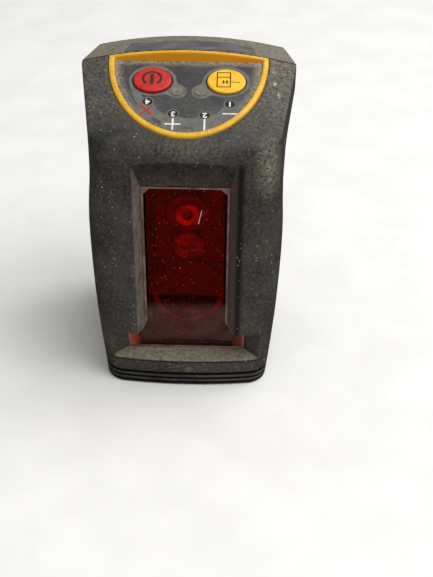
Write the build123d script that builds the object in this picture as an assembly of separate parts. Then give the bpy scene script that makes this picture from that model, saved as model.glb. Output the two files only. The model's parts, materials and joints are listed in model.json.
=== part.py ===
from build123d import *
import os
from functools import cache
from math import cos, radians, sin, tan

# Self-levelling cross-line laser level, in millimetres.
# The front faces -Y, +X is the viewer's right, and the foot stands on Z = 0.

# Housing form. Three upright slices (seam, front, rear) are joined by lofts.
BODY_DEPTH = 76.0
FRONT_DEPTH = 45.0
FRONT_BOW_R = 200.0
FRONT_EDGE_R = 9.0
REAR_EDGE_R = 8.5
SLICE_LEAD = 1.0
SIDE_LEAN = 0.1
LEAST_CORNER_R = 0.6
WALL = 2.6
BOSS_SINK = 1.3

SEAM_BASE_WIDTH = 74.0
SEAM_BELLY_WIDTH = 78.0
SEAM_BELLY_Z = 45.0
SEAM_WAIST_WIDTH = 78.0
SEAM_WAIST_Z = 102.0
SEAM_HEAD_WIDTH = 83.6
SEAM_EAR_Z = 119.0
SEAM_CROWN_Z = 131.8
SEAM_CROWN_DROP = 5.2
SEAM_CORNER_R = 7.0

FRONT_BASE_WIDTH = 65.6
FRONT_BELLY_WIDTH = 74.4
FRONT_BELLY_Z = 48.0
FRONT_WAIST_WIDTH = 74.8
FRONT_WAIST_Z = 80.0
FRONT_HEAD_WIDTH = 68.2
FRONT_EAR_Z = 103.0
FRONT_CROWN_Z = 112.5
FRONT_CROWN_DROP = 1.5
FRONT_CORNER_R = 5.0

REAR_BASE_WIDTH = 68.0
REAR_BELLY_WIDTH = 73.0
REAR_BELLY_Z = 45.0
REAR_WAIST_WIDTH = 73.6
REAR_WAIST_Z = 92.0
REAR_HEAD_WIDTH = 73.6
REAR_EAR_Z = 94.0
REAR_CROWN_Z = 126.0
REAR_CROWN_DROP = 4.0
REAR_CORNER_R = 18.0

# Ribbed rubber foot, base plate and tripod thread.
FOOT_HEIGHT = 6.4
FOOT_FLOOR = 1.8
FOOT_WALL = 3.2
FOOT_BEVEL = 0.7
GROOVE_COUNT = 3
GROOVE_PITCH = 2.25
GROOVE_HEIGHT = 0.9
GROOVE_DEPTH = 1.3
PLATE_GAP = 0.15
INSERT_R = 5.0
INSERT_BORE_R = 2.55
INSERT_RISE = 0.4
INSERT_ACCESS_GAP = 1.5

# Beam opening: a T-shaped recess, narrow at the window and flared to the front.
RECESS_DEPTH = 8.0
STEM_WIDTH = 34.4
STEM_TOP_Z = 92.4
BAR_WIDTH = 49.0
BAR_LOW_Z = 14.2
BAR_HIGH_Z = 24.0
MOUTH_STEM_WIDTH = 40.0
MOUTH_TOP_Z = 107.0
MOUTH_BAR_WIDTH = 69.0
MOUTH_SILL_Z = 12.8
MOUTH_CEILING_Z = 26.4
TEE_CORNER_R = 5.5
WINDOW_THICK = 2.0
WINDOW_GAP = 0.15
GASKET_THICK = 0.8
LEDGE_WIDTH = 1.8
LEDGE_THICK = 2.0

# Keypad: a D-shaped pocket in the sloping top, half an oval with its flat back towards the seam.
KEYPAD_TILT = 19.4
KEYPAD_FRONT_Z = 114.25
DEE_WIDTH = 62.0
DEE_INSET = 4.6
RIM_WIDTH = 2.4
RIM_BACK_WIDTH = 1.7
RIM_PROUD = 0.5
RIM_ROUND = 0.7
RIM_SEAM_GAP = 0.3
RIM_FIT = 0.1
OVERLAY_THICK = 1.0
OVERLAY_FIT = 0.1
KEYPAD_FLOOR = 3.0
KEY_LENGTH = 14.6
KEY_WIDTH = 12.8
KEYPAD_MIDDLE_X = 0.7
KEY_X = 14.0
KEY_BACK_INSET = 12.8
KEY_PROUD = 0.8
KEY_ROUND = 0.5
KEY_TRAVEL = 0.6
KEY_FLANGE = 1.2
KEY_FLANGE_THICK = 0.8
KEY_GAP = 0.2
KEY_STEM_R = 2.0
SWITCH_SIDE = 6.0
SWITCH_HEIGHT = 3.1
SWITCH_STEM_R = 1.7
SWITCH_STEM_SPARE = 0.4
SWITCH_STEM_ROOT = 0.3
STEM_GAP = 0.1
LENS_R = 2.2
LENS_X = 4.5
LENS_AHEAD = 5.4
LENS_PROUD = 0.25
LENS_COLLAR_R = 3.0
LENS_COLLAR = 0.8
LED_R = 1.5
LED_HEIGHT = 2.4
LED_GAP = 0.5

# Keypad circuit board, hung from three posts under the keypad floor.
BOARD_THICK = 1.6
KEYPAD_BOARD_DROP = 9.5
KEYPAD_BOARD_WIDTH = 40.0
KEYPAD_BOARD_AHEAD = 17.0
KEYPAD_BOARD_BEHIND = 8.0
POST_X = 16.0
POST_AHEAD = 13.0
POST_R = 2.4
SMALL_SCREW_R = 0.9
SMALL_HEAD_R = 2.0
SMALL_HEAD = 1.3
SMALL_SCREW_LENGTH = 5.0
SCREW_GAP = 0.05
CROSS_LENGTH = 1.2
CROSS_WIDTH = 0.25

# Bare inlaid plate on the rear shell's top.
PLATE_FRONT_WIDTH = 51.6
PLATE_REAR_WIDTH = 48.0
PLATE_INSET = 1.9
PLATE_LENGTH = 14.6
INLAY_DEPTH = 1.0
INLAY_SUNK = 0.1
INLAY_GAP = 0.15

# Seam seal and the four housing screws.
SEAL_INSET = 0.8
SEAL_WIDTH = 1.1
SEAL_DEPTH = 1.2
HOUSING_SCREW_X = 31.5
HOUSING_SCREW_Z = [36.0, 94.0]
BOSS_R = 4.0
COLUMN_R = 4.6
HOUSING_SCREW_R = 1.4
HOUSING_HEAD_R = 2.9
HOUSING_HEAD = 2.0
COLUMN_LENGTH = 13.0
HOUSING_SCREW_GRIP = 15.0
HEAD_WELL_GAP = 0.5

# Base plate screws.
BASE_SCREW_X = 26.0
FRONT_BASE_SCREW_INSET = 17.0
REAR_BASE_SCREW_INSET = 14.0
BASE_SCREW_R = 1.4
BASE_HEAD_R = 2.7
BASE_HEAD = 1.8
BASE_BOSS_R = 3.4
BASE_BOSS_HEIGHT = 7.0
BASE_SCREW_LENGTH = 11.0

# Battery bay: three AA cells side by side in a tray behind a hinged door.
CELL_R = 7.1
CELL_LENGTH = 50.5
CELL_NUB_R = 2.7
CELL_NUB = 1.5
CELL_PITCH = 15.0
CELL_COUNT = 3
CELL_GAP = 0.3
DOOR_CLEAR = 1.8
TRAY_WALL = 1.6
TRAY_BOTTOM_Z = 30.5
TRAY_SIDE_GAP = 0.9
LEAF_HEIGHT = 2.0
LEAF_THICK = 0.4
LEAF_SPAN = 10.0
LEAF_DEPTH = 6.0
CONTACT_GAP = 0.05
CONTACT_WIDTH = 13.0
DOOR_THICK = 2.4
DOOR_GAP = 0.3
KNUCKLE_R = 1.9
HINGE_PIN_R = 0.8
HINGE_PIN_FIT = 0.05
PIN_SEAT_FIT = 0.02
HINGE_EAR = 4.0
HINGE_PIN_SEAT = 3.0
HINGE_EAR_DEPTH = 3.0
HINGE_EAR_HALF = 2.6
CATCH_WIDTH = 10.0
CATCH_HEIGHT = 3.0
CATCH_DEPTH = 1.0
FINGER_R = 8.0
FINGER_DEPTH = 1.5

# Main circuit board on stand-offs in front of the tray.
STANDOFF_LENGTH = 2.4
STANDOFF_R = 2.4
STANDOFF_X = 19.0
STANDOFF_INSET_Z = 6.0
MAIN_BOARD_WIDTH = 46.0
MAIN_BOARD_HEIGHT = 52.0
CHIP_SIDE = 10.0
CHIP_THICK = 1.4
CONNECTOR_WIDTH = 14.0
CONNECTOR_HEIGHT = 5.0
CONNECTOR_THICK = 2.2
CONNECTOR_INSET = 3.0
RIBBON_WIDTH = 11.0
RIBBON_THICK = 0.3
RIBBON_BEND_R = 2.5
RIBBON_BEHIND = 5.0
RIBBON_DROP = 3.0
RIBBON_TURN_Z = 106.0

# Gimbal: a ring that rolls in the bracket and carries the pendulum's pitch pin.
BRACKET_BOARD_GAP = 0.9
GIMBAL_Z = 90.0
BRACKET_THICK = 3.0
BRACKET_WIDTH = 55.0
BRACKET_RISE = 10.0
ARM_WIDTH = 14.0
ARM_BELOW = 4.0
RING_WIDTH = 26.0
RING_LENGTH = 19.0
RING_HEIGHT = 8.0
RING_WALL = 3.5
RING_END_GAP = 1.0
BEARING_R = 2.5
BEARING_WIDTH = 2.3
PIVOT_R = 1.0
PIVOT_FIT = 0.03
PIVOT_CLEAR = 0.5
PRESS_FIT = 0.01
BRACKET_SCREW_X = 24.5
BRACKET_SCREW_SPACING = 16.0
BRACKET_BOSS_R = 3.0
BRACKET_SCREW_LENGTH = 8.0

# Pendulum with the two line lasers.
HANGER_WIDTH = 17.6
HANGER_DEPTH = 8.0
HANGER_ABOVE = 4.5
PLATE_WIDTH = 27.0
PLATE_TOP_Z = 80.0
UPPER_BEAM_Z = 70.5
UPPER_SEAT_R = 8.5
UPPER_SEAT_REACH = 10.0
LASER_R = 4.9
LASER_FIT = 0.02
LASER_LENGTH = 17.0
LASER_PROUD = 1.0
APERTURE_R = 2.4
APERTURE_DEPTH = 4.0
LINE_LENS_R = 1.3
LINE_LENS_LENGTH = 3.8
BALANCE_Z = 53.0
BALANCE_R = 6.35
BALANCE_THICK = 3.0
BALANCE_SOCKET_R = 2.8
BALANCE_SOCKET_DEPTH = 1.8
BALANCE_STUD_R = 2.0
BALANCE_STUD_PROUD = 1.0
BOB_R = 16.5
BOB_FRONT_REACH = 6.0
BOB_BACK_REACH = 8.5
LOWER_BEAM_Z = 19.5
TRIM_Z = 44.0
TRIM_R = 1.5
TRIM_LENGTH = 6.0
TRIM_PROUD = 2.0
MAGNET_R = 2.4
MAGNET_X = 8.2
MAGNET_HEIGHT = 5.0
MAGNET_SPACING = 7.0
MAGNET_LIFT = 0.3
DAMPER_THICK = 1.2
DAMPER_WIDTH = 40.0
DAMPER_LENGTH = 22.0
DAMPER_GAP = 1.5

# Places that follow from the sizes above.
SIDES = (-1, 1)
FAR = 200.0
TINY = 1e-6


def pairs(x, others, middle=0.0):
    """Mirrored places: each of the other coordinates at x either side of the middle."""
    return [(middle + side * x, other) for side in SIDES for other in others]


FRONT_Y = -BODY_DEPTH / 2
REAR_Y = BODY_DEPTH / 2
SEAM_Y = FRONT_Y + FRONT_DEPTH
FLOOR_Z = FOOT_HEIGHT + WALL
WINDOW_Y = FRONT_Y + RECESS_DEPTH
GASKET_Y = WINDOW_Y + WINDOW_THICK
LEDGE_Y = GASKET_Y + GASKET_THICK
LEDGE_BACK_Y = LEDGE_Y + LEDGE_THICK
DEE_FRONT_Y = FRONT_Y + DEE_INSET
DEE_BACK_Y = SEAM_Y - RIM_SEAM_GAP
DEE_LENGTH = DEE_BACK_Y - DEE_FRONT_Y
KEY_ALONG = DEE_LENGTH / cos(radians(KEYPAD_TILT)) - KEY_BACK_INSET
KEYPAD_BOARD_START = KEY_ALONG - KEYPAD_BOARD_AHEAD
KEYPAD_BOARD_END = KEY_ALONG + KEYPAD_BOARD_BEHIND
RIBBON_START = KEY_ALONG + RIBBON_BEHIND
KEYPAD_UNDERSIDE = OVERLAY_THICK + KEYPAD_FLOOR
KEYPAD_BOARD_UNDERSIDE = KEYPAD_BOARD_DROP + BOARD_THICK
SWITCH_TOP = KEYPAD_BOARD_DROP - SWITCH_HEIGHT
KEY_STEM_END = SWITCH_TOP - KEY_TRAVEL - SWITCH_STEM_SPARE
PLATE_START_Y = SEAM_Y + PLATE_INSET
PLATE_END_Y = PLATE_START_Y + PLATE_LENGTH
HEAD_SEAT_Y = SEAM_Y + COLUMN_LENGTH
HOUSING_SCREW_END_Y = SEAM_Y - HOUSING_SCREW_GRIP
BASE_SEAT_Z = FOOT_FLOOR + BASE_HEAD
BASE_SCREW_TOP_Z = FOOT_FLOOR + BASE_SCREW_LENGTH
TRAY_BACK_Y = REAR_Y - WALL
TRAY_HALF = (CELL_COUNT - 1) / 2 * CELL_PITCH + CELL_R + TRAY_SIDE_GAP
TRAY_TOP_Z = TRAY_BOTTOM_Z + LEAF_HEIGHT + CELL_LENGTH + LEAF_THICK + CONTACT_GAP
CELL_Y = TRAY_BACK_Y - DOOR_CLEAR - CELL_R
TRAY_FRONT_Y = CELL_Y - CELL_R - CELL_GAP
BOARD_BACK_Y = TRAY_FRONT_Y - TRAY_WALL - STANDOFF_LENGTH
BOARD_FRONT_Y = BOARD_BACK_Y - BOARD_THICK
BOARD_MIDDLE_Z = (TRAY_BOTTOM_Z + TRAY_TOP_Z) / 2
BOARD_TOP_Z = BOARD_MIDDLE_Z + MAIN_BOARD_HEIGHT / 2
CONNECTOR_TOP_Z = BOARD_TOP_Z - CONNECTOR_INSET
ARM_REACH = RING_LENGTH / 2 + RING_END_GAP
GIMBAL_Y = BOARD_FRONT_Y - CONNECTOR_THICK - BRACKET_BOARD_GAP - BRACKET_THICK - ARM_REACH
BRACKET_UNDER_Z = GIMBAL_Z + BRACKET_RISE
BRACKET_TOP_Z = BRACKET_UNDER_Z + BRACKET_THICK
BRACKET_SCREW_Y = [GIMBAL_Y + side * BRACKET_SCREW_SPACING / 2 for side in SIDES]
HANGER_FRONT_Y = GIMBAL_Y - HANGER_DEPTH / 2
HANGER_BACK_Y = GIMBAL_Y + HANGER_DEPTH / 2
PITCH_BEARING_X = RING_WIDTH / 2 - RING_WALL
UPPER_SEAT_FRONT_Y = GIMBAL_Y - UPPER_SEAT_REACH
BOB_FRONT_Y = GIMBAL_Y - BOB_FRONT_REACH
BOB_BACK_Y = GIMBAL_Y + BOB_BACK_REACH
BOB_LOW_Z = FLOOR_Z + DAMPER_THICK + DAMPER_GAP
BOB_Z = BOB_LOW_Z + BOB_R
MAGNET_LOW_Z = BOB_LOW_Z + MAGNET_LIFT
TRIM_X = PLATE_WIDTH / 2 + TRIM_PROUD - TRIM_LENGTH
HINGE_Y = REAR_Y - KNUCKLE_R
HINGE_Z = TRAY_BOTTOM_Z - TRAY_WALL - DOOR_GAP - HINGE_EAR_HALF
HINGE_PIN_HALF = TRAY_HALF + HINGE_PIN_SEAT
DOOR_HALF = TRAY_HALF - DOOR_GAP
DOOR_TOP_Z = TRAY_TOP_Z - DOOR_GAP
KEYPAD = Plane(
    origin=(0, DEE_FRONT_Y, KEYPAD_FRONT_Z),
    x_dir=(1, 0, 0),
    z_dir=(0, -sin(radians(KEYPAD_TILT)), cos(radians(KEYPAD_TILT))),
)
HOUSING_SCREWS = pairs(HOUSING_SCREW_X, HOUSING_SCREW_Z)
BRACKET_SCREWS = pairs(BRACKET_SCREW_X, BRACKET_SCREW_Y)
FRONT_BASE_SCREWS = pairs(BASE_SCREW_X, [FRONT_Y + FRONT_BASE_SCREW_INSET])
REAR_BASE_SCREWS = pairs(BASE_SCREW_X, [REAR_Y - REAR_BASE_SCREW_INSET])
BASE_SCREWS = FRONT_BASE_SCREWS + REAR_BASE_SCREWS
STANDOFFS = pairs(STANDOFF_X, [TRAY_BOTTOM_Z + STANDOFF_INSET_Z, TRAY_TOP_Z - STANDOFF_INSET_Z])
KEYS = pairs(KEY_X, [KEY_ALONG], KEYPAD_MIDDLE_X)
LENSES = pairs(LENS_X, [KEY_ALONG - LENS_AHEAD], KEYPAD_MIDDLE_X)
KEYPAD_POSTS = pairs(POST_X, [KEY_ALONG - POST_AHEAD]) + [(0, KEY_ALONG)]
LASERS = [(UPPER_SEAT_FRONT_Y - LASER_PROUD, UPPER_BEAM_Z), (BOB_FRONT_Y - LASER_PROUD, LOWER_BEAM_Z)]
MAGNETS = pairs(MAGNET_X, [GIMBAL_Y - MAGNET_SPACING / 2, GIMBAL_Y + MAGNET_SPACING / 2])


def block(low, high):
    """Box between two opposite corners."""
    size = [b - a for a, b in zip(low, high)]
    middle = [(a + b) / 2 for a, b in zip(low, high)]
    return Pos(*middle) * Box(*size)


def rod(radius, start, end):
    """Round bar between two points."""
    along = Vector(*end) - Vector(*start)
    seat = (Align.CENTER, Align.CENTER, Align.MIN)
    return Plane(origin=start, z_dir=along) * Cylinder(radius, along.length, align=seat)


def on_keypad(x, along, out):
    """Point given across the keypad, up its slope and out of its face."""
    return tuple(KEYPAD.from_local_coords(Vector(x, along, out)))


def keypad_rod(radius, x, along, low, high):
    """Round bar square to the keypad, between two heights from its face."""
    return rod(radius, on_keypad(x, along, low), on_keypad(x, along, high))


def keypad_slab(low, high):
    """All the space between two planes that are parallel to the keypad."""
    return KEYPAD * Pos(0, 0, (low + high) / 2) * Box(2 * FAR, 2 * FAR, high - low)


def keypad_box(width, x, start, end, low, high):
    """Box in the keypad's own directions."""
    return KEYPAD * Pos(x, (start + end) / 2, (low + high) / 2) * Box(width, end - start, high - low)


def keypad_oval(grow, x, along, low, high):
    """Oval prism square to the keypad with a key's outline, grown all round."""
    oval = Ellipse(KEY_LENGTH / 2 + grow, KEY_WIDTH / 2 + grow)
    return extrude(KEYPAD.offset(low) * Pos(x, along) * oval, amount=high - low)


def upright_plane(y):
    """Drawing plane across the object: local x is X and local y is Z."""
    return Plane((0, y, 0), x_dir=(1, 0, 0), z_dir=(0, -1, 0))


def above(z):
    return block((-FAR, -FAR, z), (FAR, FAR, z + FAR))


def between(low_z, high_z):
    return block((-FAR, -FAR, low_z), (FAR, FAR, high_z))


def group(pieces):
    """Separate solids that share one node."""
    return Compound(children=[solid for piece in pieces for solid in piece.solids()])


def housing_slice(y, base, belly, belly_z, waist, waist_z, head, ear_z, crown_z, crown_drop, corner_r,
                  inset):
    """Upright slice of the housing: bowed sides, flared head and an arched top."""
    base_x, belly_x, waist_x, head_x = (width / 2 - inset for width in (base, belly, waist, head))
    top_z = crown_z - inset
    shoulder_z = top_z - crown_drop
    with BuildSketch(upright_plane(y)) as sketch:
        with BuildLine():
            Line((-base_x, 0), (base_x, 0))
            Spline((base_x, 0), (belly_x, belly_z), (waist_x, waist_z), (head_x, ear_z),
                   tangents=((SIDE_LEAN, 1), (0, 1)))
            Line((head_x, ear_z), (head_x, shoulder_z))
            ThreePointArc((head_x, shoulder_z), (0, top_z), (-head_x, shoulder_z))
            Line((-head_x, shoulder_z), (-head_x, ear_z))
            Spline((-head_x, ear_z), (-waist_x, waist_z), (-belly_x, belly_z), (-base_x, 0),
                   tangents=((0, -1), (SIDE_LEAN, -1)))
        make_face()
        corners = [v for v in sketch.vertices() if abs(v.Z - shoulder_z) < TINY]
        fillet(corners, max(corner_r - inset, LEAST_CORNER_R))
    return sketch.sketch


def seam_slice(inset):
    return housing_slice(SEAM_Y, SEAM_BASE_WIDTH, SEAM_BELLY_WIDTH, SEAM_BELLY_Z, SEAM_WAIST_WIDTH,
                         SEAM_WAIST_Z, SEAM_HEAD_WIDTH, SEAM_EAR_Z, SEAM_CROWN_Z, SEAM_CROWN_DROP,
                         SEAM_CORNER_R, inset)


@cache
def front_block(inset=0.0):
    """Front half of the housing before its front edges are rounded, shrunk all round by inset."""
    front = housing_slice(FRONT_Y - SLICE_LEAD, FRONT_BASE_WIDTH, FRONT_BELLY_WIDTH, FRONT_BELLY_Z,
                          FRONT_WAIST_WIDTH, FRONT_WAIST_Z, FRONT_HEAD_WIDTH, FRONT_EAR_Z, FRONT_CROWN_Z,
                          FRONT_CROWN_DROP, FRONT_CORNER_R, inset)
    bow_y = FRONT_Y + FRONT_BOW_R
    return loft([seam_slice(inset), front]) & rod(FRONT_BOW_R - inset, (0, bow_y, -FAR), (0, bow_y, FAR))


@cache
def front_form(inset=0.0):
    """Front half of the housing as a solid, shrunk all round by inset."""
    form = front_block(inset)
    face = form.faces().sort_by(Axis.Y)[0]
    return fillet([e for e in face.edges() if e.center().Z > FOOT_HEIGHT], FRONT_EDGE_R - inset)


@cache
def rear_form(inset=0.0):
    """Rear half of the housing as a solid, shrunk all round by inset."""
    rear = housing_slice(REAR_Y + SLICE_LEAD, REAR_BASE_WIDTH, REAR_BELLY_WIDTH, REAR_BELLY_Z,
                         REAR_WAIST_WIDTH, REAR_WAIST_Z, REAR_HEAD_WIDTH, REAR_EAR_Z, REAR_CROWN_Z,
                         REAR_CROWN_DROP, REAR_CORNER_R, inset)
    form = loft([seam_slice(inset), rear]) & block((-FAR, -FAR, -FAR), (FAR, REAR_Y - inset, FAR))
    face = form.faces().sort_by(Axis.Y)[-1]
    return fillet([e for e in face.edges() if e.center().Z > FOOT_HEIGHT], REAR_EDGE_R - inset)


def foot_form(inset, low_z, high_z):
    """Slice of the whole housing form near the ground."""
    return (front_form(inset) + rear_form(inset)) & between(low_z, high_z)


def tee(y, grow):
    """Upright slice of the beam opening: a tall stem over a wide bar."""
    share = (WINDOW_Y - y) / RECESS_DEPTH
    stem = (STEM_WIDTH + (MOUTH_STEM_WIDTH - STEM_WIDTH) * share) / 2 + grow
    bar = (BAR_WIDTH + (MOUTH_BAR_WIDTH - BAR_WIDTH) * share) / 2 + grow
    top = STEM_TOP_Z + (MOUTH_TOP_Z - STEM_TOP_Z) * share + grow
    low = BAR_LOW_Z + (MOUTH_SILL_Z - BAR_LOW_Z) * share - grow
    high = BAR_HIGH_Z + (MOUTH_CEILING_Z - BAR_HIGH_Z) * share + grow
    with BuildSketch(upright_plane(y)) as sketch:
        with BuildLine():
            Polyline((-bar, low), (bar, low), (bar, high), (stem, high), (stem, top), (-stem, top),
                     (-stem, high), (-bar, high), close=True)
        make_face()
        inner = [v for v in sketch.vertices() if abs(v.Z - high) < TINY and abs(v.X) < bar - TINY]
        fillet(inner, TEE_CORNER_R - grow)
    return sketch.sketch


def tee_plate(front_y, back_y, grow):
    """Flat plate with the window's T outline, grown or shrunk all round."""
    return extrude(Pos(0, front_y - WINDOW_Y, 0) * tee(WINDOW_Y, grow), amount=front_y - back_y)


def recess(grow):
    """The flared beam opening in front of the window."""
    return loft([tee(WINDOW_Y, grow), tee(FRONT_Y - WALL, grow)])


def dee(grow, back_y):
    """Tall prism with the keypad's outline, flat at the back."""
    half = DEE_WIDTH / 2 + grow
    oval = extrude(Pos(0, DEE_BACK_Y) * Ellipse(half, DEE_LENGTH + grow), amount=FAR)
    prism = oval & block((-FAR, -FAR, 0), (FAR, min(back_y, DEE_BACK_Y), FAR))
    if back_y > DEE_BACK_Y:
        prism += block((-half, DEE_BACK_Y, 0), (half, back_y, FAR))
    return prism


def keypad_underside_z(y):
    """Height of the keypad floor's underside at a place along Y."""
    tilt = radians(KEYPAD_TILT)
    return KEYPAD_FRONT_Z + (y - DEE_FRONT_Y) * tan(tilt) - KEYPAD_UNDERSIDE / cos(tilt)


def make_front_shell():
    hollow = front_form(WALL) & above(FLOOR_Z)
    hollow -= recess(WALL)
    hollow -= tee_plate(WINDOW_Y, LEDGE_BACK_Y, WALL)
    hollow -= dee(WALL, SEAM_Y + WALL) & keypad_slab(-KEYPAD_UNDERSIDE, FAR)
    shell = (front_form() & above(FOOT_HEIGHT)) - hollow

    # Bosses for the housing, bracket, base and keypad board screws.
    within = front_form(BOSS_SINK)
    added = [rod(BOSS_R, (x, FRONT_Y, z), (x, SEAM_Y, z)) & within for x, z in HOUSING_SCREWS]
    for x, y in BRACKET_SCREWS:
        added.append(rod(BRACKET_BOSS_R, (x, y, BRACKET_TOP_Z), (x, y, keypad_underside_z(y) + BOSS_SINK)))
    for x, y in FRONT_BASE_SCREWS:
        added.append(rod(BASE_BOSS_R, (x, y, FOOT_HEIGHT), (x, y, FLOOR_Z + BASE_BOSS_HEIGHT)))
    for x, along in KEYPAD_POSTS:
        added.append(keypad_rod(POST_R, x, along, -KEYPAD_BOARD_DROP, -KEYPAD_UNDERSIDE + BOSS_SINK))
    shell += added

    # Beam opening, window seat and keypad pocket.
    cuts = [
        recess(0),
        tee_plate(WINDOW_Y, LEDGE_Y, 0),
        tee_plate(LEDGE_Y, LEDGE_BACK_Y + WALL, -LEDGE_WIDTH),
        dee(0, SEAM_Y + WALL) & keypad_slab(-OVERLAY_THICK, FAR),
    ]
    flange_room = OVERLAY_THICK + KEY_FLANGE_THICK + KEY_TRAVEL + KEY_GAP
    for x, along in KEYS:
        cuts.append(keypad_oval(KEY_FLANGE + KEY_GAP, x, along, -flange_room, 0))
        cuts.append(keypad_rod(KEY_STEM_R + STEM_GAP, x, along, -KEYPAD_UNDERSIDE, 0))
    for x, along in LENSES:
        cuts.append(keypad_rod(LENS_R + STEM_GAP, x, along, -KEYPAD_UNDERSIDE, 0))

    # Screw holes.
    for x, z in HOUSING_SCREWS:
        end_y = HOUSING_SCREW_END_Y - SCREW_GAP
        cuts.append(rod(HOUSING_SCREW_R + SCREW_GAP, (x, end_y, z), (x, SEAM_Y, z)))
    for x, y in BRACKET_SCREWS:
        tip_z = BRACKET_UNDER_Z + BRACKET_SCREW_LENGTH + SCREW_GAP
        cuts.append(rod(SMALL_SCREW_R + SCREW_GAP, (x, y, BRACKET_TOP_Z), (x, y, tip_z)))
    for x, y in FRONT_BASE_SCREWS:
        cuts.append(rod(BASE_SCREW_R + SCREW_GAP, (x, y, FOOT_HEIGHT), (x, y, BASE_SCREW_TOP_Z + SCREW_GAP)))
    for x, along in KEYPAD_POSTS:
        tip = SMALL_SCREW_LENGTH - KEYPAD_BOARD_UNDERSIDE + SCREW_GAP
        cuts.append(keypad_rod(SMALL_SCREW_R + SCREW_GAP, x, along, -KEYPAD_BOARD_DROP, tip))
    return shell - cuts


def inlay(depth_from, depth_to, gap):
    """Thin curved plate that follows the rear shell's top."""
    front_x = PLATE_FRONT_WIDTH / 2 - gap
    rear_x = PLATE_REAR_WIDTH / 2 - gap
    start_y = PLATE_START_Y + gap
    end_y = PLATE_END_Y - gap
    corners = [(-front_x, start_y), (front_x, start_y), (rear_x, end_y), (-rear_x, end_y)]
    prism = extrude(make_face(Polyline(*corners, close=True)), amount=FAR) & above(REAR_EAR_Z)
    return (prism & rear_form(depth_from)) - rear_form(depth_to)


def make_rear_shell():
    shell = (rear_form() & above(FOOT_HEIGHT)) - (rear_form(WALL) & above(FLOOR_Z))
    within = rear_form(BOSS_SINK)
    added = [rod(COLUMN_R, (x, SEAM_Y, z), (x, REAR_Y, z)) & within for x, z in HOUSING_SCREWS]
    for x, y in REAR_BASE_SCREWS:
        added.append(rod(BASE_BOSS_R, (x, y, FOOT_HEIGHT), (x, y, FLOOR_Z + BASE_BOSS_HEIGHT)))

    # Door opening, with an ear each side for the hinge pin and a finger hollow above.
    ear_y = TRAY_BACK_Y - HINGE_EAR_DEPTH
    for side in SIDES:
        near_x, far_x = sorted((side * TRAY_HALF, side * (TRAY_HALF + HINGE_EAR)))
        added.append(block((near_x, ear_y, HINGE_Z - HINGE_EAR_HALF),
                           (far_x, TRAY_BACK_Y + BOSS_SINK, HINGE_Z + HINGE_EAR_HALF)))
    shell += added
    cuts = [
        block((-TRAY_HALF, ear_y, HINGE_Z - KNUCKLE_R - DOOR_GAP), (TRAY_HALF, REAR_Y + WALL, TRAY_TOP_Z)),
        rod(HINGE_PIN_R + PIN_SEAT_FIT, (-HINGE_PIN_HALF, HINGE_Y, HINGE_Z),
            (HINGE_PIN_HALF, HINGE_Y, HINGE_Z)),
        Pos(0, REAR_Y + FINGER_R - FINGER_DEPTH, TRAY_TOP_Z) * Sphere(FINGER_R),
    ]

    # Seal groove, inlay pocket and screw holes.
    cuts += [make_housing_seal(), inlay(-WALL, INLAY_DEPTH, 0)]
    for x, z in HOUSING_SCREWS:
        cuts.append(rod(HOUSING_SCREW_R + HEAD_WELL_GAP, (x, SEAM_Y, z), (x, REAR_Y, z)))
        cuts.append(rod(HOUSING_HEAD_R + HEAD_WELL_GAP, (x, HEAD_SEAT_Y, z), (x, REAR_Y + WALL, z)))
    for x, y in REAR_BASE_SCREWS:
        cuts.append(rod(BASE_SCREW_R + SCREW_GAP, (x, y, FOOT_HEIGHT), (x, y, BASE_SCREW_TOP_Z + SCREW_GAP)))
    return shell - cuts


def make_housing_seal():
    """Rubber ring that follows the seam inside the rear shell's wall."""
    inner_inset = SEAL_INSET + SEAL_WIDTH
    outer = extrude(seam_slice(SEAL_INSET), amount=-SEAL_DEPTH) & above(FOOT_HEIGHT + SEAL_INSET)
    return outer - (extrude(seam_slice(inner_inset), amount=-SEAL_DEPTH) & above(FOOT_HEIGHT + inner_inset))


def screw(shank_r, head_r, head, tip, seat, direction):
    """Screw from its tip to its seat, with a cross-slotted head beyond."""
    top = tuple(s + d * head for s, d in zip(seat, direction))
    slot = Plane(origin=top, z_dir=direction) * (
        Box(head_r * CROSS_LENGTH, head_r * CROSS_WIDTH, head)
        + Box(head_r * CROSS_WIDTH, head_r * CROSS_LENGTH, head)
    )
    return rod(shank_r, tip, seat) + rod(head_r, seat, top) - slot


def make_housing_screws():
    return group([
        screw(HOUSING_SCREW_R, HOUSING_HEAD_R, HOUSING_HEAD, (x, HOUSING_SCREW_END_Y, z),
              (x, HEAD_SEAT_Y, z), (0, 1, 0))
        for x, z in HOUSING_SCREWS
    ])


def make_keypad_bezel():
    ring = dee(-RIM_FIT, DEE_BACK_Y) - dee(-RIM_WIDTH, DEE_BACK_Y - RIM_BACK_WIDTH)
    ring &= keypad_slab(-OVERLAY_THICK, FAR) & front_block(-RIM_PROUD)
    return fillet(ring.faces().filter_by(GeomType.BSPLINE)[0].edges(), RIM_ROUND)


def make_keypad_overlay():
    inset = RIM_WIDTH + OVERLAY_FIT
    panel = dee(-inset, DEE_BACK_Y - RIM_BACK_WIDTH - OVERLAY_FIT) & keypad_slab(-OVERLAY_THICK, 0)
    for x, along in KEYS:
        panel -= keypad_oval(KEY_GAP, x, along, -OVERLAY_THICK, 0)
    for x, along in LENSES:
        panel -= keypad_rod(LENS_R + STEM_GAP, x, along, -OVERLAY_THICK, 0)
    return panel


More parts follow.
